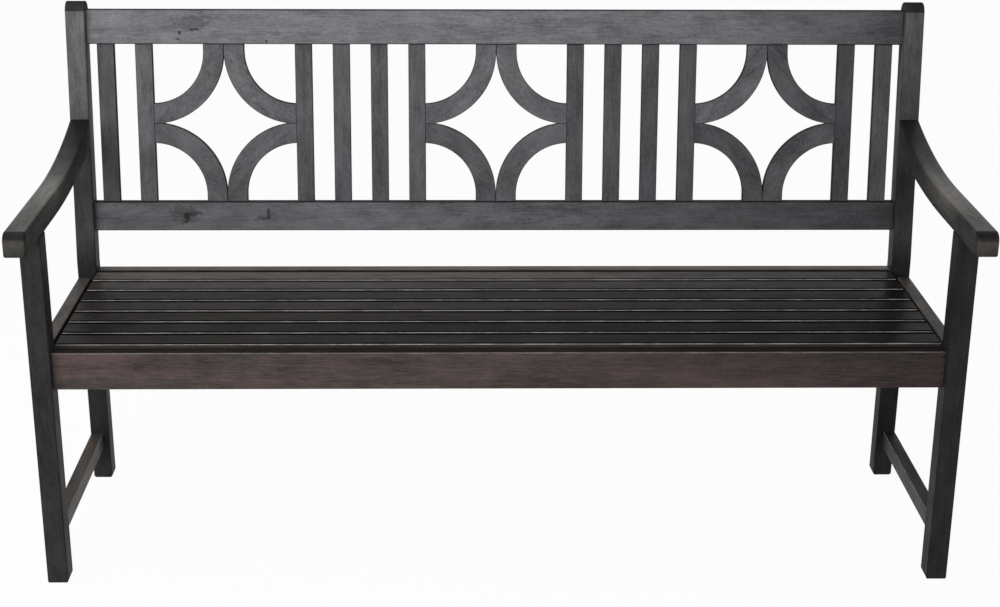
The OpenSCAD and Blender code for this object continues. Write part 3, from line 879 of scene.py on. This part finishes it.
class BENCH_OT_posts(bpy.types.Operator):
    """Builds the two rear posts, bent above the seat and rounded at the top"""

    bl_idname = "bench.posts"
    bl_label = "Rear Posts"

    def execute(self, context):
        shape = context.scene.bench_shape
        for side in SIDES:
            node = side + "_rear_post"
            low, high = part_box(node)
            bm = self.bent_post(low, high, shape)
            # Painted light and shade up the post
            shade = shaded(bm, Z, POST_SHADE)
            grain = self.bent_grain(node, Vector((0, low.y, shape.bend_height)), shape.lean)
            add_piece(bm, node, "frame_wood", grain, bolt_recesses(side, True), shade=shade)
        return {"FINISHED"}

    def bent_post(self, low, high, shape):
        """A post from its foot to the bend, and from the bend to its top."""
        bm = start()
        bmesh.ops.create_grid(bm, x_segments=1, y_segments=1, size=0.5)
        bmesh.ops.scale(bm, vec=(high.x - low.x, shape.post_depth, 1), verts=bm.verts)
        foot = Vector(((low.x + high.x) / 2, low.y + shape.foot_back + shape.post_depth / 2, 0))
        bmesh.ops.translate(bm, vec=foot, verts=bm.verts)
        place = rake()
        turn = place.inverted()
        tip_up = self.tip_up(high.z, shape)
        for up in (0, tip_up):
            cap = max(bm.faces, key=lambda f: f.calc_center_median().z)
            ends = bmesh.ops.extrude_face_region(bm, geom=[cap])
            for vert in (v for v in ends["geom"] if isinstance(v, bmesh.types.BMVert)):
                in_front = (turn @ vert.co).y < shape.post_depth / 2 if up else vert.co.y < foot.y
                vert.co = place @ Vector((vert.co.x, 0 if in_front else shape.post_depth, up))
        drop_inner_faces(bm)
        bmesh.ops.recalc_face_normals(bm, faces=bm.faces)
        tip_low = tip_up - SLACK
        across = edges_along(bm, X, WIDE)
        tip = [e for e in across if all((turn @ v.co).z > tip_low for v in e.verts)]
        round_edges(bm, tip, shape.post_round, segments=14)
        ease_foot(bm, shape)
        round_edges(bm, sharp(bm), shape.frame_edge)
        # Painted shade on the sides and on the rounded top
        mark_ends(bm, POST_SIDE_SHADE, X, INNER * shape.frame_edge)
        mark(bm, TURNED_AWAY_SHADE, lambda point: (turn @ point).z > tip_up - INNER * shape.post_round)
        return bm

    def tip_up(self, top_z, shape):
        """How far up the rake the rounded top reaches, so that its highest point is top_z."""
        rise = top_z - shape.bend_height - shape.post_round * (1 - math.sin(shape.lean))
        return rise / math.cos(shape.lean) + shape.post_round

    def bent_grain(self, node, bend, lean):
        """Grain that turns with the post at its bend."""
        straight = own_grain(node, UP)
        turn = Matrix.Rotation(lean, 3, "X")

        def grain(point):
            return straight(point if point.z < bend.z else bend + turn @ (point - bend))

        return grain


class BENCH_OT_legs(bpy.types.Operator):
    """Builds the two front legs"""

    bl_idname = "bench.legs"
    bl_label = "Front Legs"

    def execute(self, context):
        shape = context.scene.bench_shape
        for side in SIDES:
            node = side + "_front_leg"
            bm = block(*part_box(node))
            ease_foot(bm, shape)
            round_edges(bm, edges_along(bm, Z), shape.frame_edge)
            # Painted shade on the sides
            mark_ends(bm, LEG_SIDE_SHADE, X, INNER * shape.frame_edge)
            add_piece(bm, node, "frame_wood", own_grain(node, UP), bolt_recesses(side, False))
        return {"FINISHED"}


class BENCH_OT_armrests(bpy.types.Operator):
    """Builds the two armrests, rounded at the nose and curved up to the posts"""

    bl_idname = "bench.armrests"
    bl_label = "Armrests"

    def execute(self, context):
        shape = context.scene.bench_shape
        for side in SIDES:
            node = side + "_armrest"
            low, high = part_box(node)
            bm = self.curved_arm(low, high, shape)
            grain = self.curved_grain(node, low, shape)
            # Painted light and shade on the nose and the top
            shade = functools.partial(self.shade, low, high, shape)
            add_piece(bm, node, "arm_wood", grain, self.nut_hole(side), shade=shade)
        return {"FINISHED"}

    def profile(self, y, low, shape):
        """Heights of the underside and the top at a depth."""
        under = low.z + self.rise(y - LEG_Y - shape.arm_under_start, shape.arm_under_radius)
        top = low.z + shape.arm_thickness
        return under, top + self.rise(y - LEG_Y - shape.arm_top_start, shape.arm_top_radius)

    def rise(self, run, radius):
        """How far an arc has risen after a run from where it starts."""
        run = max(run, 0)
        return radius - math.sqrt(radius * radius - run * run)

    def curved_arm(self, low, high, shape):
        """An armrest in strips, the first of them long enough for the nose."""
        steps = 48
        bm = block(Vector((low.x, 0, 0)), Vector((high.x, 1, 1)))
        bmesh.ops.subdivide_edges(bm, edges=edges_along(bm, Y), cuts=steps - 1, use_grid_fill=True)
        nose_share = (shape.arm_nose + 2 * MM) / (high.y - low.y)
        for vert in bm.verts:
            share = vert.co.y
            if share > 0:
                share = nose_share + (1 - nose_share) * (share * steps - 1) / (steps - 1)
            vert.co = self.arm_point(vert.co, share, low, shape)
        across = edges_along(bm, X, WIDE)
        nose = [e for e in across if all(self.at_nose(v.co, low) for v in e.verts)]
        round_edges(bm, nose, shape.arm_nose, segments=10)
        turn = rake().inverted()
        free = [e for e in sharp(bm) if not all(abs((turn @ v.co).y) < SLACK for v in e.verts)]
        round_edges(bm, free, shape.arm_edge, clamp=False)
        # Painted shade on the sides
        mark_ends(bm, ARM_SIDE_SHADE, X, 0.5 * shape.arm_edge)
        return bm

    def arm_point(self, corner, share, low, shape):
        """A point at a share of the length up to the post, whose lean is met in a few rounds."""
        z = low.z
        for _ in range(6):
            end_y = BEND_Y + (z - shape.bend_height) * math.tan(shape.lean)
            y = low.y + share * (end_y - low.y)
            under, top = self.profile(y, low, shape)
            z = top if corner.z > 0.5 else under
        return Vector((corner.x, y, z))

    def at_nose(self, point, low):
        return point.y < low.y + MM and point.z > low.z + SLACK

    def shade(self, low, high, shape, point):
        """Painted light and shade: the nose by its height, the top by its place along the armrest, and
        all else plain.
        """
        if point.y < low.y + 0.9 * shape.arm_nose:
            return shade_along(Z, NOSE_SHADE)(point - low)
        under, top = self.profile(point.y, low, shape)
        share = (point.y - low.y) / (high.y - low.y)
        return self.painted_top_light(share) if point.z > (under + top) / 2 else 1.0

    def painted_top_light(self, share):
        """Painted light on the top, strongest near the middle, and painted shade towards the post where
        the top curves up.
        """
        # Middle and spread of the painted light on the top, then where and how fast the painted shade
        # comes in towards the post
        rest, spread = 0.42, 0.16
        fade_start, fade_run = 0.58, 0.25
        swell = math.exp(-((share - rest) / spread) ** 2)
        fade = min(max((share - fade_start) / fade_run, 0), 1)
        return (1.2 + 2.6 * swell) * (1 - 0.75 * fade)

    def nut_hole(self, side):
        """A shallow opening over the barrel nut in the outer side."""
        sign = side_sign(side)
        out = ALONG_X * sign
        found = []
        for middle, size in solids("barrel_nuts"):
            if middle.x * sign > 0 and size.x > size.y:
                place = middle + out * (size.x / 2 + CUTTER_REACH / 2 - MM)
                found.append((place, ALONG_X, NUT_HOLE_RADIUS, CUTTER_REACH))
        return rods(found)

    def curved_grain(self, node, low, shape):
        """Grain that follows most of the armrest's curve."""
        straight = own_grain(node, ALONG_Y)

        def grain(point):
            under, top = self.profile(point.y, low, shape)
            middle = (under + top) / 2 - low.z - shape.arm_thickness / 2
            return straight(point - Vector((0, 0, 0.75 * middle)))

        return grain


class BENCH_OT_side_rails(bpy.types.Operator):
    """Builds the side seat rails and the lower stretchers"""

    bl_idname = "bench.side_rails"
    bl_label = "Side Rails"

    def execute(self, context):
        radius = 0.8 * context.scene.bench_shape.frame_edge
        for side in SIDES:
            for name in ("_seat_side_rail", "_lower_stretcher"):
                node = side + name
                low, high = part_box(node)
                bm = block(low, high)
                self.meet_post(bm, node)
                round_edges(bm, edges_along(bm, Y), radius)
                # A painted highlight along the inner top edge
                arris = Vector((inner_x(low, high), 0, high.z))
                mark(bm, SIDE_RAIL_HIGHLIGHT, functools.partial(self.near, arris, INNER * radius))
                add_piece(bm, node, "frame_wood", own_grain(node, ALONG_Y))
        return {"FINISHED"}

    def near(self, arris, reach, point):
        return point.z > arris.z - reach and abs(point.x - arris.x) < reach

    def meet_post(self, bm, node):
        """Slopes the rear end like the lower post that it butts against."""
        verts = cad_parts[node].data.vertices
        low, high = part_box(node)
        for vert in bm.verts:
            if vert.co.y > (low.y + high.y) / 2:
                vert.co.y = max(v.co.y for v in verts if abs(v.co.z - vert.co.z) < SLACK)


class BENCH_OT_seat_frame(bpy.types.Operator):
    """Builds the front and rear seat rails, the centre bearer and the cleats"""

    bl_idname = "bench.seat_frame"
    bl_label = "Seat Frame"

    def execute(self, context):
        radius = 0.9 * context.scene.bench_shape.frame_edge
        for node in ("front_seat_rail", "rear_seat_rail"):
            low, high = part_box(node)
            bm = block(low, high)
            round_edges(bm, edges_along(bm, X), radius)
            # Painted light on a rail's top; the front rail instead gets a painted shadow on its top, a
            # painted highlight on its front edge, and painted light and shade along the bench
            shade = functools.partial(self.lit_top, high.z - 0.5 * radius)
            if node == "front_seat_rail":
                top_z = high.z - INNER * radius
                front_y = low.y + INNER * radius
                mark(bm, APRON_TOP_SHADOW, lambda point: point.z > top_z)
                mark(bm, APRON_HIGHLIGHT, lambda point: point.z > top_z and point.y < front_y)
                shade = shaded(bm, X, APRON_SHADE)
            holes = nut_holes(low, high, Matrix.Identity(4))
            add_piece(bm, node, "seat_wood", own_grain(node, ALONG_X), holes, FRAME_FIGURE, shade)
        for node in ("centre_seat_bearer", "left_seat_cleat", "right_seat_cleat"):
            low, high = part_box(node)
            bm = block(low, high)
            round_edges(bm, sharp(bm), HIDDEN_EDGE, segments=2)
            add_piece(bm, node, "seat_wood", own_grain(node, ALONG_Y), self.screw_holes(low, high))
        return {"FINISHED"}

    def lit_top(self, height, point):
        # Painted light on the top face
        return RAIL_TOP_LIGHT if point.z > height else 1.0

    def screw_holes(self, low, high):
        """Counterbores under the slat screws, and seats for the screws through a cleat."""
        below = low.z - 5 * MM
        into_head = 0.3 * MM
        found = []
        for bottom, top in islands("seat_slat_screws"):
            middle = (bottom + top) / 2
            if low.x < middle.x < high.x:
                depth = bottom.z + into_head - below
                place = Vector((middle.x, middle.y, below + depth / 2))
                found.append((place, UP, COUNTERBORE_RADIUS, depth))
        for bottom, top in islands("cleat_screws"):
            x = inner_x(bottom, top)
            if abs(x - inner_x(low, high)) < MM:
                place = Vector((x, (bottom.y + top.y) / 2, (bottom.z + top.z) / 2))
                found.append((place, ALONG_X, SCREW_SEAT_RADIUS, SCREW_SEAT_LENGTH))
        return rods(found)


class BENCH_OT_seat_slats(bpy.types.Operator):
    """Builds the seven seat slats with their rounded top edges"""

    bl_idname = "bench.seat_slats"
    bl_label = "Seat Slats"

    def execute(self, context):
        radius = context.scene.bench_shape.seat_edge
        for number in SEAT_SLATS:
            node = "seat_slat_%d" % number
            low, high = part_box(node)
            bm = block(low, high)
            middle_z = (low.z + high.z) / 2
            upper = [e for e in edges_along(bm, X) if e.verts[0].co.z > middle_z]
            round_edges(bm, upper, radius, segments=6)
            round_edges(bm, sharp(bm), LOWER_EDGE, segments=2)
            self.mark_slat(bm, low, high, radius, number > 1)
            # Painted light on the first slat's front, and painted light and shade along the bench
            front_y = low.y + 0.5 * radius if number == 1 else -math.inf
            shade = functools.partial(self.slat_shade, shaded(bm, X, SEAT_SHADE), front_y)
            add_piece(bm, node, "seat_wood", own_grain(node, ALONG_X), None, SEAT_FIGURE, shade)
        return {"FINISHED"}

    def slat_shade(self, along_bench, front_y, point):
        return SLAT_FRONT_LIGHT if point.y < front_y else along_bench(point)

    def mark_slat(self, bm, low, high, radius, hidden_front):
        """Paints a highlight along the top front edge, and painted shade on what looks into the gaps
        between the slats.
        """
        middle_y = (low.y + high.y) / 2
        front_band = low.y + 6 * MM
        rear_band = high.y - 4.5 * MM
        rings(bm, Y, (front_band, front_band + MM, rear_band, rear_band - MM))
        bottom = low.z + TINY
        highlight_down = high.z - 0.4 * radius
        dark_up = highlight_down if hidden_front else low.z + 0.75 * MM
        below_arris = high.z - 0.6 * radius
        highlight_back = low.y + 0.6 * radius
        # Painted shade into the gaps and behind the front edge, and a painted highlight on the front
        # edge
        mark(bm, SLAT_GAP_SHADE, lambda p: bottom < p.z < dark_up and p.y < middle_y)
        mark(bm, SLAT_GAP_SHADE, lambda p: bottom < p.z and p.y > rear_band - SLACK)
        mark(bm, SLAT_GAP_SHADE, lambda p: p.z > highlight_down and p.y < front_band + SLACK)
        mark(bm, SLAT_HIGHLIGHT, lambda p: p.z > highlight_down and p.y < highlight_back)
        mark(bm, BELOW_ARRIS_HIGHLIGHT, lambda p: below_arris < p.z < highlight_down and p.y < middle_y)


class BENCH_OT_back_rails(bpy.types.Operator):
    """Builds the lower and top back rails, leaning with the posts"""

    bl_idname = "bench.back_rails"
    bl_label = "Back Rails"

    def execute(self, context):
        radius = 0.8 * context.scene.bench_shape.frame_edge
        place = rake()
        for node, stops in (("lower_back_rail", LOWER_RAIL_SHADE), ("top_back_rail", TOP_RAIL_SHADE)):
            low, high = box_along(node, place)
            bm = block(low, high)
            round_edges(bm, edges_along(bm, X), radius)
            # Painted shade on the sides and edges, and painted light and shade along the bench
            mark_between(bm, TURNED_AWAY_SHADE, Y, TINY)
            shade = shaded(bm, X, stops)
            bmesh.ops.transform(bm, matrix=place, verts=bm.verts)
            holes = nut_holes(low, high, place)
            add_piece(bm, node, "back_wood", own_grain(node, ALONG_X), holes, shade=shade)
        return {"FINISHED"}


class BENCH_OT_back_slats(bpy.types.Operator):
    """Builds the twelve upright slats of the back"""

    bl_idname = "bench.back_slats"
    bl_label = "Back Slats"

    def execute(self, context):
        place = rake()
        bottom, top = opening(place)
        for number in BACK_SLATS:
            node = "back_slat_%d" % number
            low, high = box_along(node, place)
            low.z, high.z = bottom, top
            bm = block(low, high)
            round_edges(bm, sharp(bm), context.scene.bench_shape.thin_edge)
            # Painted shade on the sides and edges
            mark_between(bm, TURNED_AWAY_SHADE, Y, TINY)
            bmesh.ops.transform(bm, matrix=place, verts=bm.verts)
            add_piece(bm, node, "back_wood", own_grain(node, place.to_3x3() @ UP))
        return {"FINISHED"}


class BENCH_OT_diamonds(bpy.types.Operator):
    """Builds the three diamonds, each from four curved quarters"""

    bl_idname = "bench.diamonds"
    bl_label = "Diamonds"

    def execute(self, context):
        shape = context.scene.bench_shape
        place = rake()
        middle_up = sum(opening(place)) / 2
        for panel in PANELS:
            for level in LEVELS:
                for side in SIDES:
                    self.quarter(panel, level, side, place, middle_up, shape)
        return {"FINISHED"}

    def quarter(self, panel, level, side, place, middle_up, shape):
        """One quarter, turned from the upper right to its own corner of the diamond."""
        node = "diamond_%d_%s_%s" % (panel, level, side)
        low, high = box_along(node, place)
        right = side == "right"
        upper = level == "upper"
        seam = Vector((low.x if right else high.x, low.y, middle_up))
        reach_up = high.z - middle_up if upper else middle_up - low.z
        bm = self.curved_quarter(Vector((high.x - low.x, high.y - low.y, reach_up)), shape)
        flip = Matrix.Diagonal((1 if right else -1, 1, 1 if upper else -1, 1))
        bmesh.ops.transform(bm, matrix=place @ Matrix.Translation(seam) @ flip, verts=bm.verts)
        along = Vector((1 if right else -1, 0, -1 if upper else 1))
        grain = own_grain(node, place.to_3x3() @ along)
        add_piece(bm, node, "back_wood", grain, figure=DIAMOND_FIGURE)

    def curved_quarter(self, size, shape):
        """One quarter towards the upper right: a quarter ring with a straight shank on top."""
        outer = size.x + shape.arc_past_slat
        centre = Vector((outer, 0, outer - shape.arc_lap))
        bm = block(Vector((0, 0, centre.z)), Vector((shape.arc_width, size.y, size.z + 5 * MM)))
        end = min(bm.faces, key=lambda f: f.calc_center_median().z)
        bmesh.ops.spin(
            bm,
            geom=[end] + list(end.edges) + list(end.verts),
            cent=centre,
            axis=ALONG_Y,
            angle=-math.pi / 2,
            steps=28,
            use_merge=False,
            use_duplicate=False,
        )
        drop_inner_faces(bm)
        bmesh.ops.remove_doubles(bm, verts=bm.verts, dist=TINY)
        self.trim(bm, (size.x, 0, 0), ALONG_X)
        self.trim(bm, (0, 0, 0), -UP)
        self.trim(bm, (0, 0, size.z), UP)
        bmesh.ops.recalc_face_normals(bm, faces=bm.faces)
        free = [e for e in sharp(bm) if min(v.co.x for v in e.verts) < size.x - TINY]
        round_edges(bm, free, shape.thin_edge)
        # Painted shade on the sides and edges, and a darker seam where the quarters meet
        mark_between(bm, TURNED_AWAY_SHADE, Y, TINY)
        seam_z = 2 * shape.thin_edge
        mark(bm, DIAMOND_SEAM, lambda point: TINY < point.y < size.y - TINY and point.z < seam_z)
        return bm

    def trim(self, bm, point, outward):
        """Cuts off what lies past a plane and closes the cut."""
        bmesh.ops.bisect_plane(
            bm, geom=everything(bm), dist=1e-6, plane_co=point, plane_no=outward, clear_outer=True
        )
        rim = [e for e in bm.edges if e.is_boundary]
        bmesh.ops.holes_fill(bm, edges=rim, sides=0)


class BENCH_OT_fasteners(bpy.types.Operator):
    """Builds the bolts and barrel nuts, and finishes washers, screws and dowels"""

    bl_idname = "bench.fasteners"
    bl_label = "Fasteners"

    def execute(self, context):
        finish = context.scene.bench_finish
        zinc = zinc_plate(finish)
        wood = bare_wood(finish)
        for node in ("bolt_washers", "seat_slat_screws", "cleat_screws"):
            self.paint(node, zinc)
        for node in ("long_rail_dowels", "side_frame_dowels", "armrest_dowels", "diamond_dowels"):
            self.paint(node, wood)
        self.bolts(zinc)
        self.nuts(zinc)
        return {"FINISHED"}

    def paint(self, node, material):
        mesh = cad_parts[node].data
        mesh.materials.clear()
        mesh.materials.append(material)

    def bolts(self, zinc):
        """Round-headed bolts with a hexagon socket, each along its CAD bolt."""
        whole = bmesh.new()
        for middle, size in solids("frame_bolts"):
            out = ALONG_Y
            if size.x > size.y:
                out = ALONG_X * (1 if middle.x > 0 else -1)
            bolt_length = max(size.x, size.y)
            self.join(whole, self.bolt(bolt_length), middle - out * bolt_length / 2, out)
        self.metal_piece("frame_bolts_turned", whole, "frame_bolts", zinc)

    def bolt(self, bolt_length):
        """One bolt that stands on its tip, with its head at the top."""
        head, head_radius, shank_radius = 3.5 * MM, 6 * MM, 3 * MM
        socket, socket_depth, socket_rim = 2 * MM, 2 * MM, 2.2 * MM
        bm = bmesh.new()
        cylinder(bm, head_radius, head, 48, Matrix.Translation((0, 0, bolt_length - head / 2)))
        rim = [e for e in bm.edges if all(v.co.z > bolt_length - TINY for v in e.verts)]
        round_edges(bm, rim, 1.1 * MM, segments=4, clamp=False)
        top = max(bm.faces, key=lambda f: (f.calc_center_median().z, f.calc_area()))
        bmesh.ops.inset_individual(bm, faces=[top], thickness=socket_rim)
        for vert in top.verts:
            turn = math.atan2(vert.co.y, vert.co.x)
            off = (turn + math.pi / 6) % (math.pi / 3) - math.pi / 6
            reach = socket / math.cos(off)
            vert.co = (reach * math.cos(turn), reach * math.sin(turn), vert.co.z)
        floor = bmesh.ops.extrude_discrete_faces(bm, faces=[top])["faces"][0]
        bmesh.ops.translate(bm, vec=(0, 0, -socket_depth), verts=floor.verts)
        under = [min(bm.faces, key=lambda f: f.calc_center_median().z)]
        bmesh.ops.inset_individual(bm, faces=under, thickness=head_radius - shank_radius)
        end = bmesh.ops.extrude_discrete_faces(bm, faces=under)["faces"][0]
        bmesh.ops.translate(bm, vec=(0, 0, head - bolt_length), verts=end.verts)
        tip = [e for e in bm.edges if all(v.co.z < TINY for v in e.verts)]
        round_edges(bm, tip, 0.8 * MM, segments=1, clamp=False)
        return bm

    def nuts(self, zinc):
        """Barrel nuts with eased rims and a slot across each end."""
        between_seat_and_back = 0.45
        whole = bmesh.new()
        for middle, size in solids("barrel_nuts"):
            out = ALONG_Y
            if size.x > size.y:
                out = ALONG_X
            elif middle.z > between_seat_and_back:
                out = rake().to_3x3() @ ALONG_Y
            self.join(whole, self.nut(), middle, out)
        self.metal_piece("barrel_nuts_turned", whole, "barrel_nuts", zinc)

    def nut(self):
        """One barrel nut that stands with its middle at the origin."""
        radius, nut_length = 5 * MM, 18 * MM
        bm = bmesh.new()
        cylinder(bm, radius, nut_length, 48)
        rims = [e for e in bm.edges if abs(e.verts[0].co.z - e.verts[1].co.z) < 1e-6]
        round_edges(bm, rims, 0.6 * MM, segments=2, clamp=False)
        for sign in (-1, 1):
            self.sink_slot(bm, sign, nut_length / 2)
        return bm

    def sink_slot(self, bm, sign, end_z):
        """Sinks a straight slot across one end face."""
        half_width, depth = 0.8 * MM, 1.5 * MM

        def end_faces():
            return [f for f in bm.faces if abs(f.calc_center_median().z * sign - end_z) < TINY]

        for x in (-half_width, half_width):
            faces = end_faces()
            edges = dict.fromkeys(e for f in faces for e in f.edges)
            verts = dict.fromkeys(v for f in faces for v in f.verts)
            bmesh.ops.bisect_plane(
                bm, geom=faces + list(edges) + list(verts), dist=1e-6,
                plane_co=(x, 0, 0), plane_no=ALONG_X,
            )
        floor = [f for f in end_faces() if abs(f.calc_center_median().x) < 0.5 * half_width]
        for face in bmesh.ops.extrude_discrete_faces(bm, faces=floor)["faces"]:
            bmesh.ops.translate(bm, vec=(0, 0, -sign * depth), verts=face.verts)

    def join(self, whole, part, place, out):
        """Adds a part to a mesh, moved to a place and turned from the vertical to a direction."""
        bmesh.ops.transform(part, matrix=Matrix.Translation(place) @ turned_to(out), verts=part.verts)
        mesh = bpy.data.meshes.new("part")
        part.to_mesh(mesh)
        part.free()
        whole.from_mesh(mesh)
        bpy.data.meshes.remove(mesh)

    def metal_piece(self, name, bm, node, material):
        obj = new_object(name, bm)
        smooth(obj.data, 40)
        obj.data.materials.append(material)
        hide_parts(node)
        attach(obj, "root")


class BENCH_OT_stage(bpy.types.Operator):
    """Sets up the floor, the soft light and the camera"""

    bl_idname = "bench.stage"
    bl_label = "Stage"

    def execute(self, context):
        stage = context.scene.bench_stage
        self.floor(stage)
        self.world(context.scene, stage)
        self.light("key_light", stage.key_power)
        self.light("top_light", stage.top_power)
        self.camera(context.scene, stage)
        context.scene.view_settings.view_transform = "Standard"
        return {"FINISHED"}

    def floor(self, stage):
        """A matt floor that the camera sees almost in its plain colour."""
        bm = bmesh.new()
        bmesh.ops.create_grid(bm, x_segments=1, y_segments=1, size=FLOOR_REACH)
        obj = new_object("floor", bm)
        shader = Shader("pale_floor", {"Roughness": 0.9, "Specular IOR Level": 0.1})
        shader.feed("Base Color", rgba(stage.pale, FLOOR_TONE))
        glow = shader.node("ShaderNodeEmission", None, {"Color": rgba(stage.pale), "Strength": 1.0})
        surface = Value(shader, shader.surface.outputs[0])
        share = FLOOR_GLOW * self.seen(shader)
        mixed = shader.node("ShaderNodeMixShader", None, {0: share, 1: surface, 2: glow})
        shader.set_input(shader.tree.nodes["Material Output"].inputs["Surface"], mixed)
        obj.data.materials.append(shader.material)

    def seen(self, shader):
        """One for rays from the camera, a mirror or a window, and none for the rest."""
        path = shader.node("ShaderNodeLightPath").socket.node
        camera, glossy, clear = (
            Value(shader, path.outputs[name])
            for name in ("Is Camera Ray", "Is Glossy Ray", "Is Transmission Ray")
        )
        return shader.clamped(camera + glossy + clear)

    def world(self, scene, stage):
        """A plain backdrop, and light from all round that fades upwards."""
        world = bpy.data.worlds.new("pale_room")
        world.use_nodes = True
        scene.world = world
        shader = Nodes(world.node_tree)
        background = world.node_tree.nodes["Background"]
        background.inputs["Color"].default_value = rgba(stage.pale)
        upwards = shader.parts(shader.node("ShaderNodeTexCoord", output="Generated"))[2]
        fade = 1 - shader.clamped(upwards)
        seen = self.seen(shader)
        shader.set_input(background.inputs["Strength"], seen + (1 - seen) * stage.ambient * fade * fade)

    def light(self, name, power):
        size, place, target = LIGHTS[name]
        data = bpy.data.lights.new(name, "AREA")
        data.shape = "RECTANGLE"
        data.size, data.size_y = size
        data.energy = power
        obj = bpy.data.objects.new(name, data)
        bpy.context.scene.collection.objects.link(obj)
        obj.location = place
        aim = Vector(target) - Vector(place)
        obj.rotation_euler = aim.to_track_quat("-Z", "Y").to_euler()

    def camera(self, scene, stage):
        data = bpy.data.cameras.new("camera")
        data.sensor_width = 36
        data.lens = stage.lens
        data.shift_x, data.shift_y = stage.camera_shift
        obj = bpy.data.objects.new("camera", data)
        scene.collection.objects.link(obj)
        tilt, roll, turn = stage.camera_turn
        obj.matrix_world = (
            Matrix.Translation(stage.camera_place)
            @ Matrix.Rotation(turn, 4, "Z")
            @ Matrix.Rotation(tilt, 4, "X")
            @ Matrix.Rotation(roll, 4, "Z")
        )
        scene.camera = obj


PIECES = (
    BENCH_OT_posts,
    BENCH_OT_legs,
    BENCH_OT_armrests,
    BENCH_OT_side_rails,
    BENCH_OT_seat_frame,
    BENCH_OT_seat_slats,
    BENCH_OT_back_rails,
    BENCH_OT_back_slats,
    BENCH_OT_diamonds,
    BENCH_OT_fasteners,
    BENCH_OT_stage,
)


class BENCH_PT_panel(bpy.types.Panel):
    """Lists the bench's pieces and settings"""

    bl_idname = "BENCH_PT_panel"
    bl_label = "Outdoor Bench"
    bl_space_type = "VIEW_3D"
    bl_region_type = "UI"
    bl_category = "Bench"

    def draw(self, context):
        layout = self.layout
        for piece in PIECES:
            layout.operator(piece.bl_idname)
        for group in (context.scene.bench_shape, context.scene.bench_finish, context.scene.bench_stage):
            box = layout.box()
            for name in group.bl_rna.properties.keys():
                if name not in ("rna_type", "name"):
                    box.prop(group, name)


GROUPS = {"bench_shape": BenchShape, "bench_finish": BenchFinish, "bench_stage": BenchStage}


def register():
    for name, group in GROUPS.items():
        bpy.utils.register_class(group)
        setattr(bpy.types.Scene, name, PointerProperty(type=group))
    for piece in PIECES + (BENCH_PT_panel,):
        bpy.utils.register_class(piece)


def unregister():
    for piece in reversed(PIECES + (BENCH_PT_panel,)):
        bpy.utils.unregister_class(piece)
    for name, group in GROUPS.items():
        delattr(bpy.types.Scene, name)
        bpy.utils.unregister_class(group)


def main():
    register()
    for piece in PIECES:
        group, name = piece.bl_idname.split(".")
        getattr(getattr(bpy.ops, group), name)()


if __name__ == "__main__":
    main()
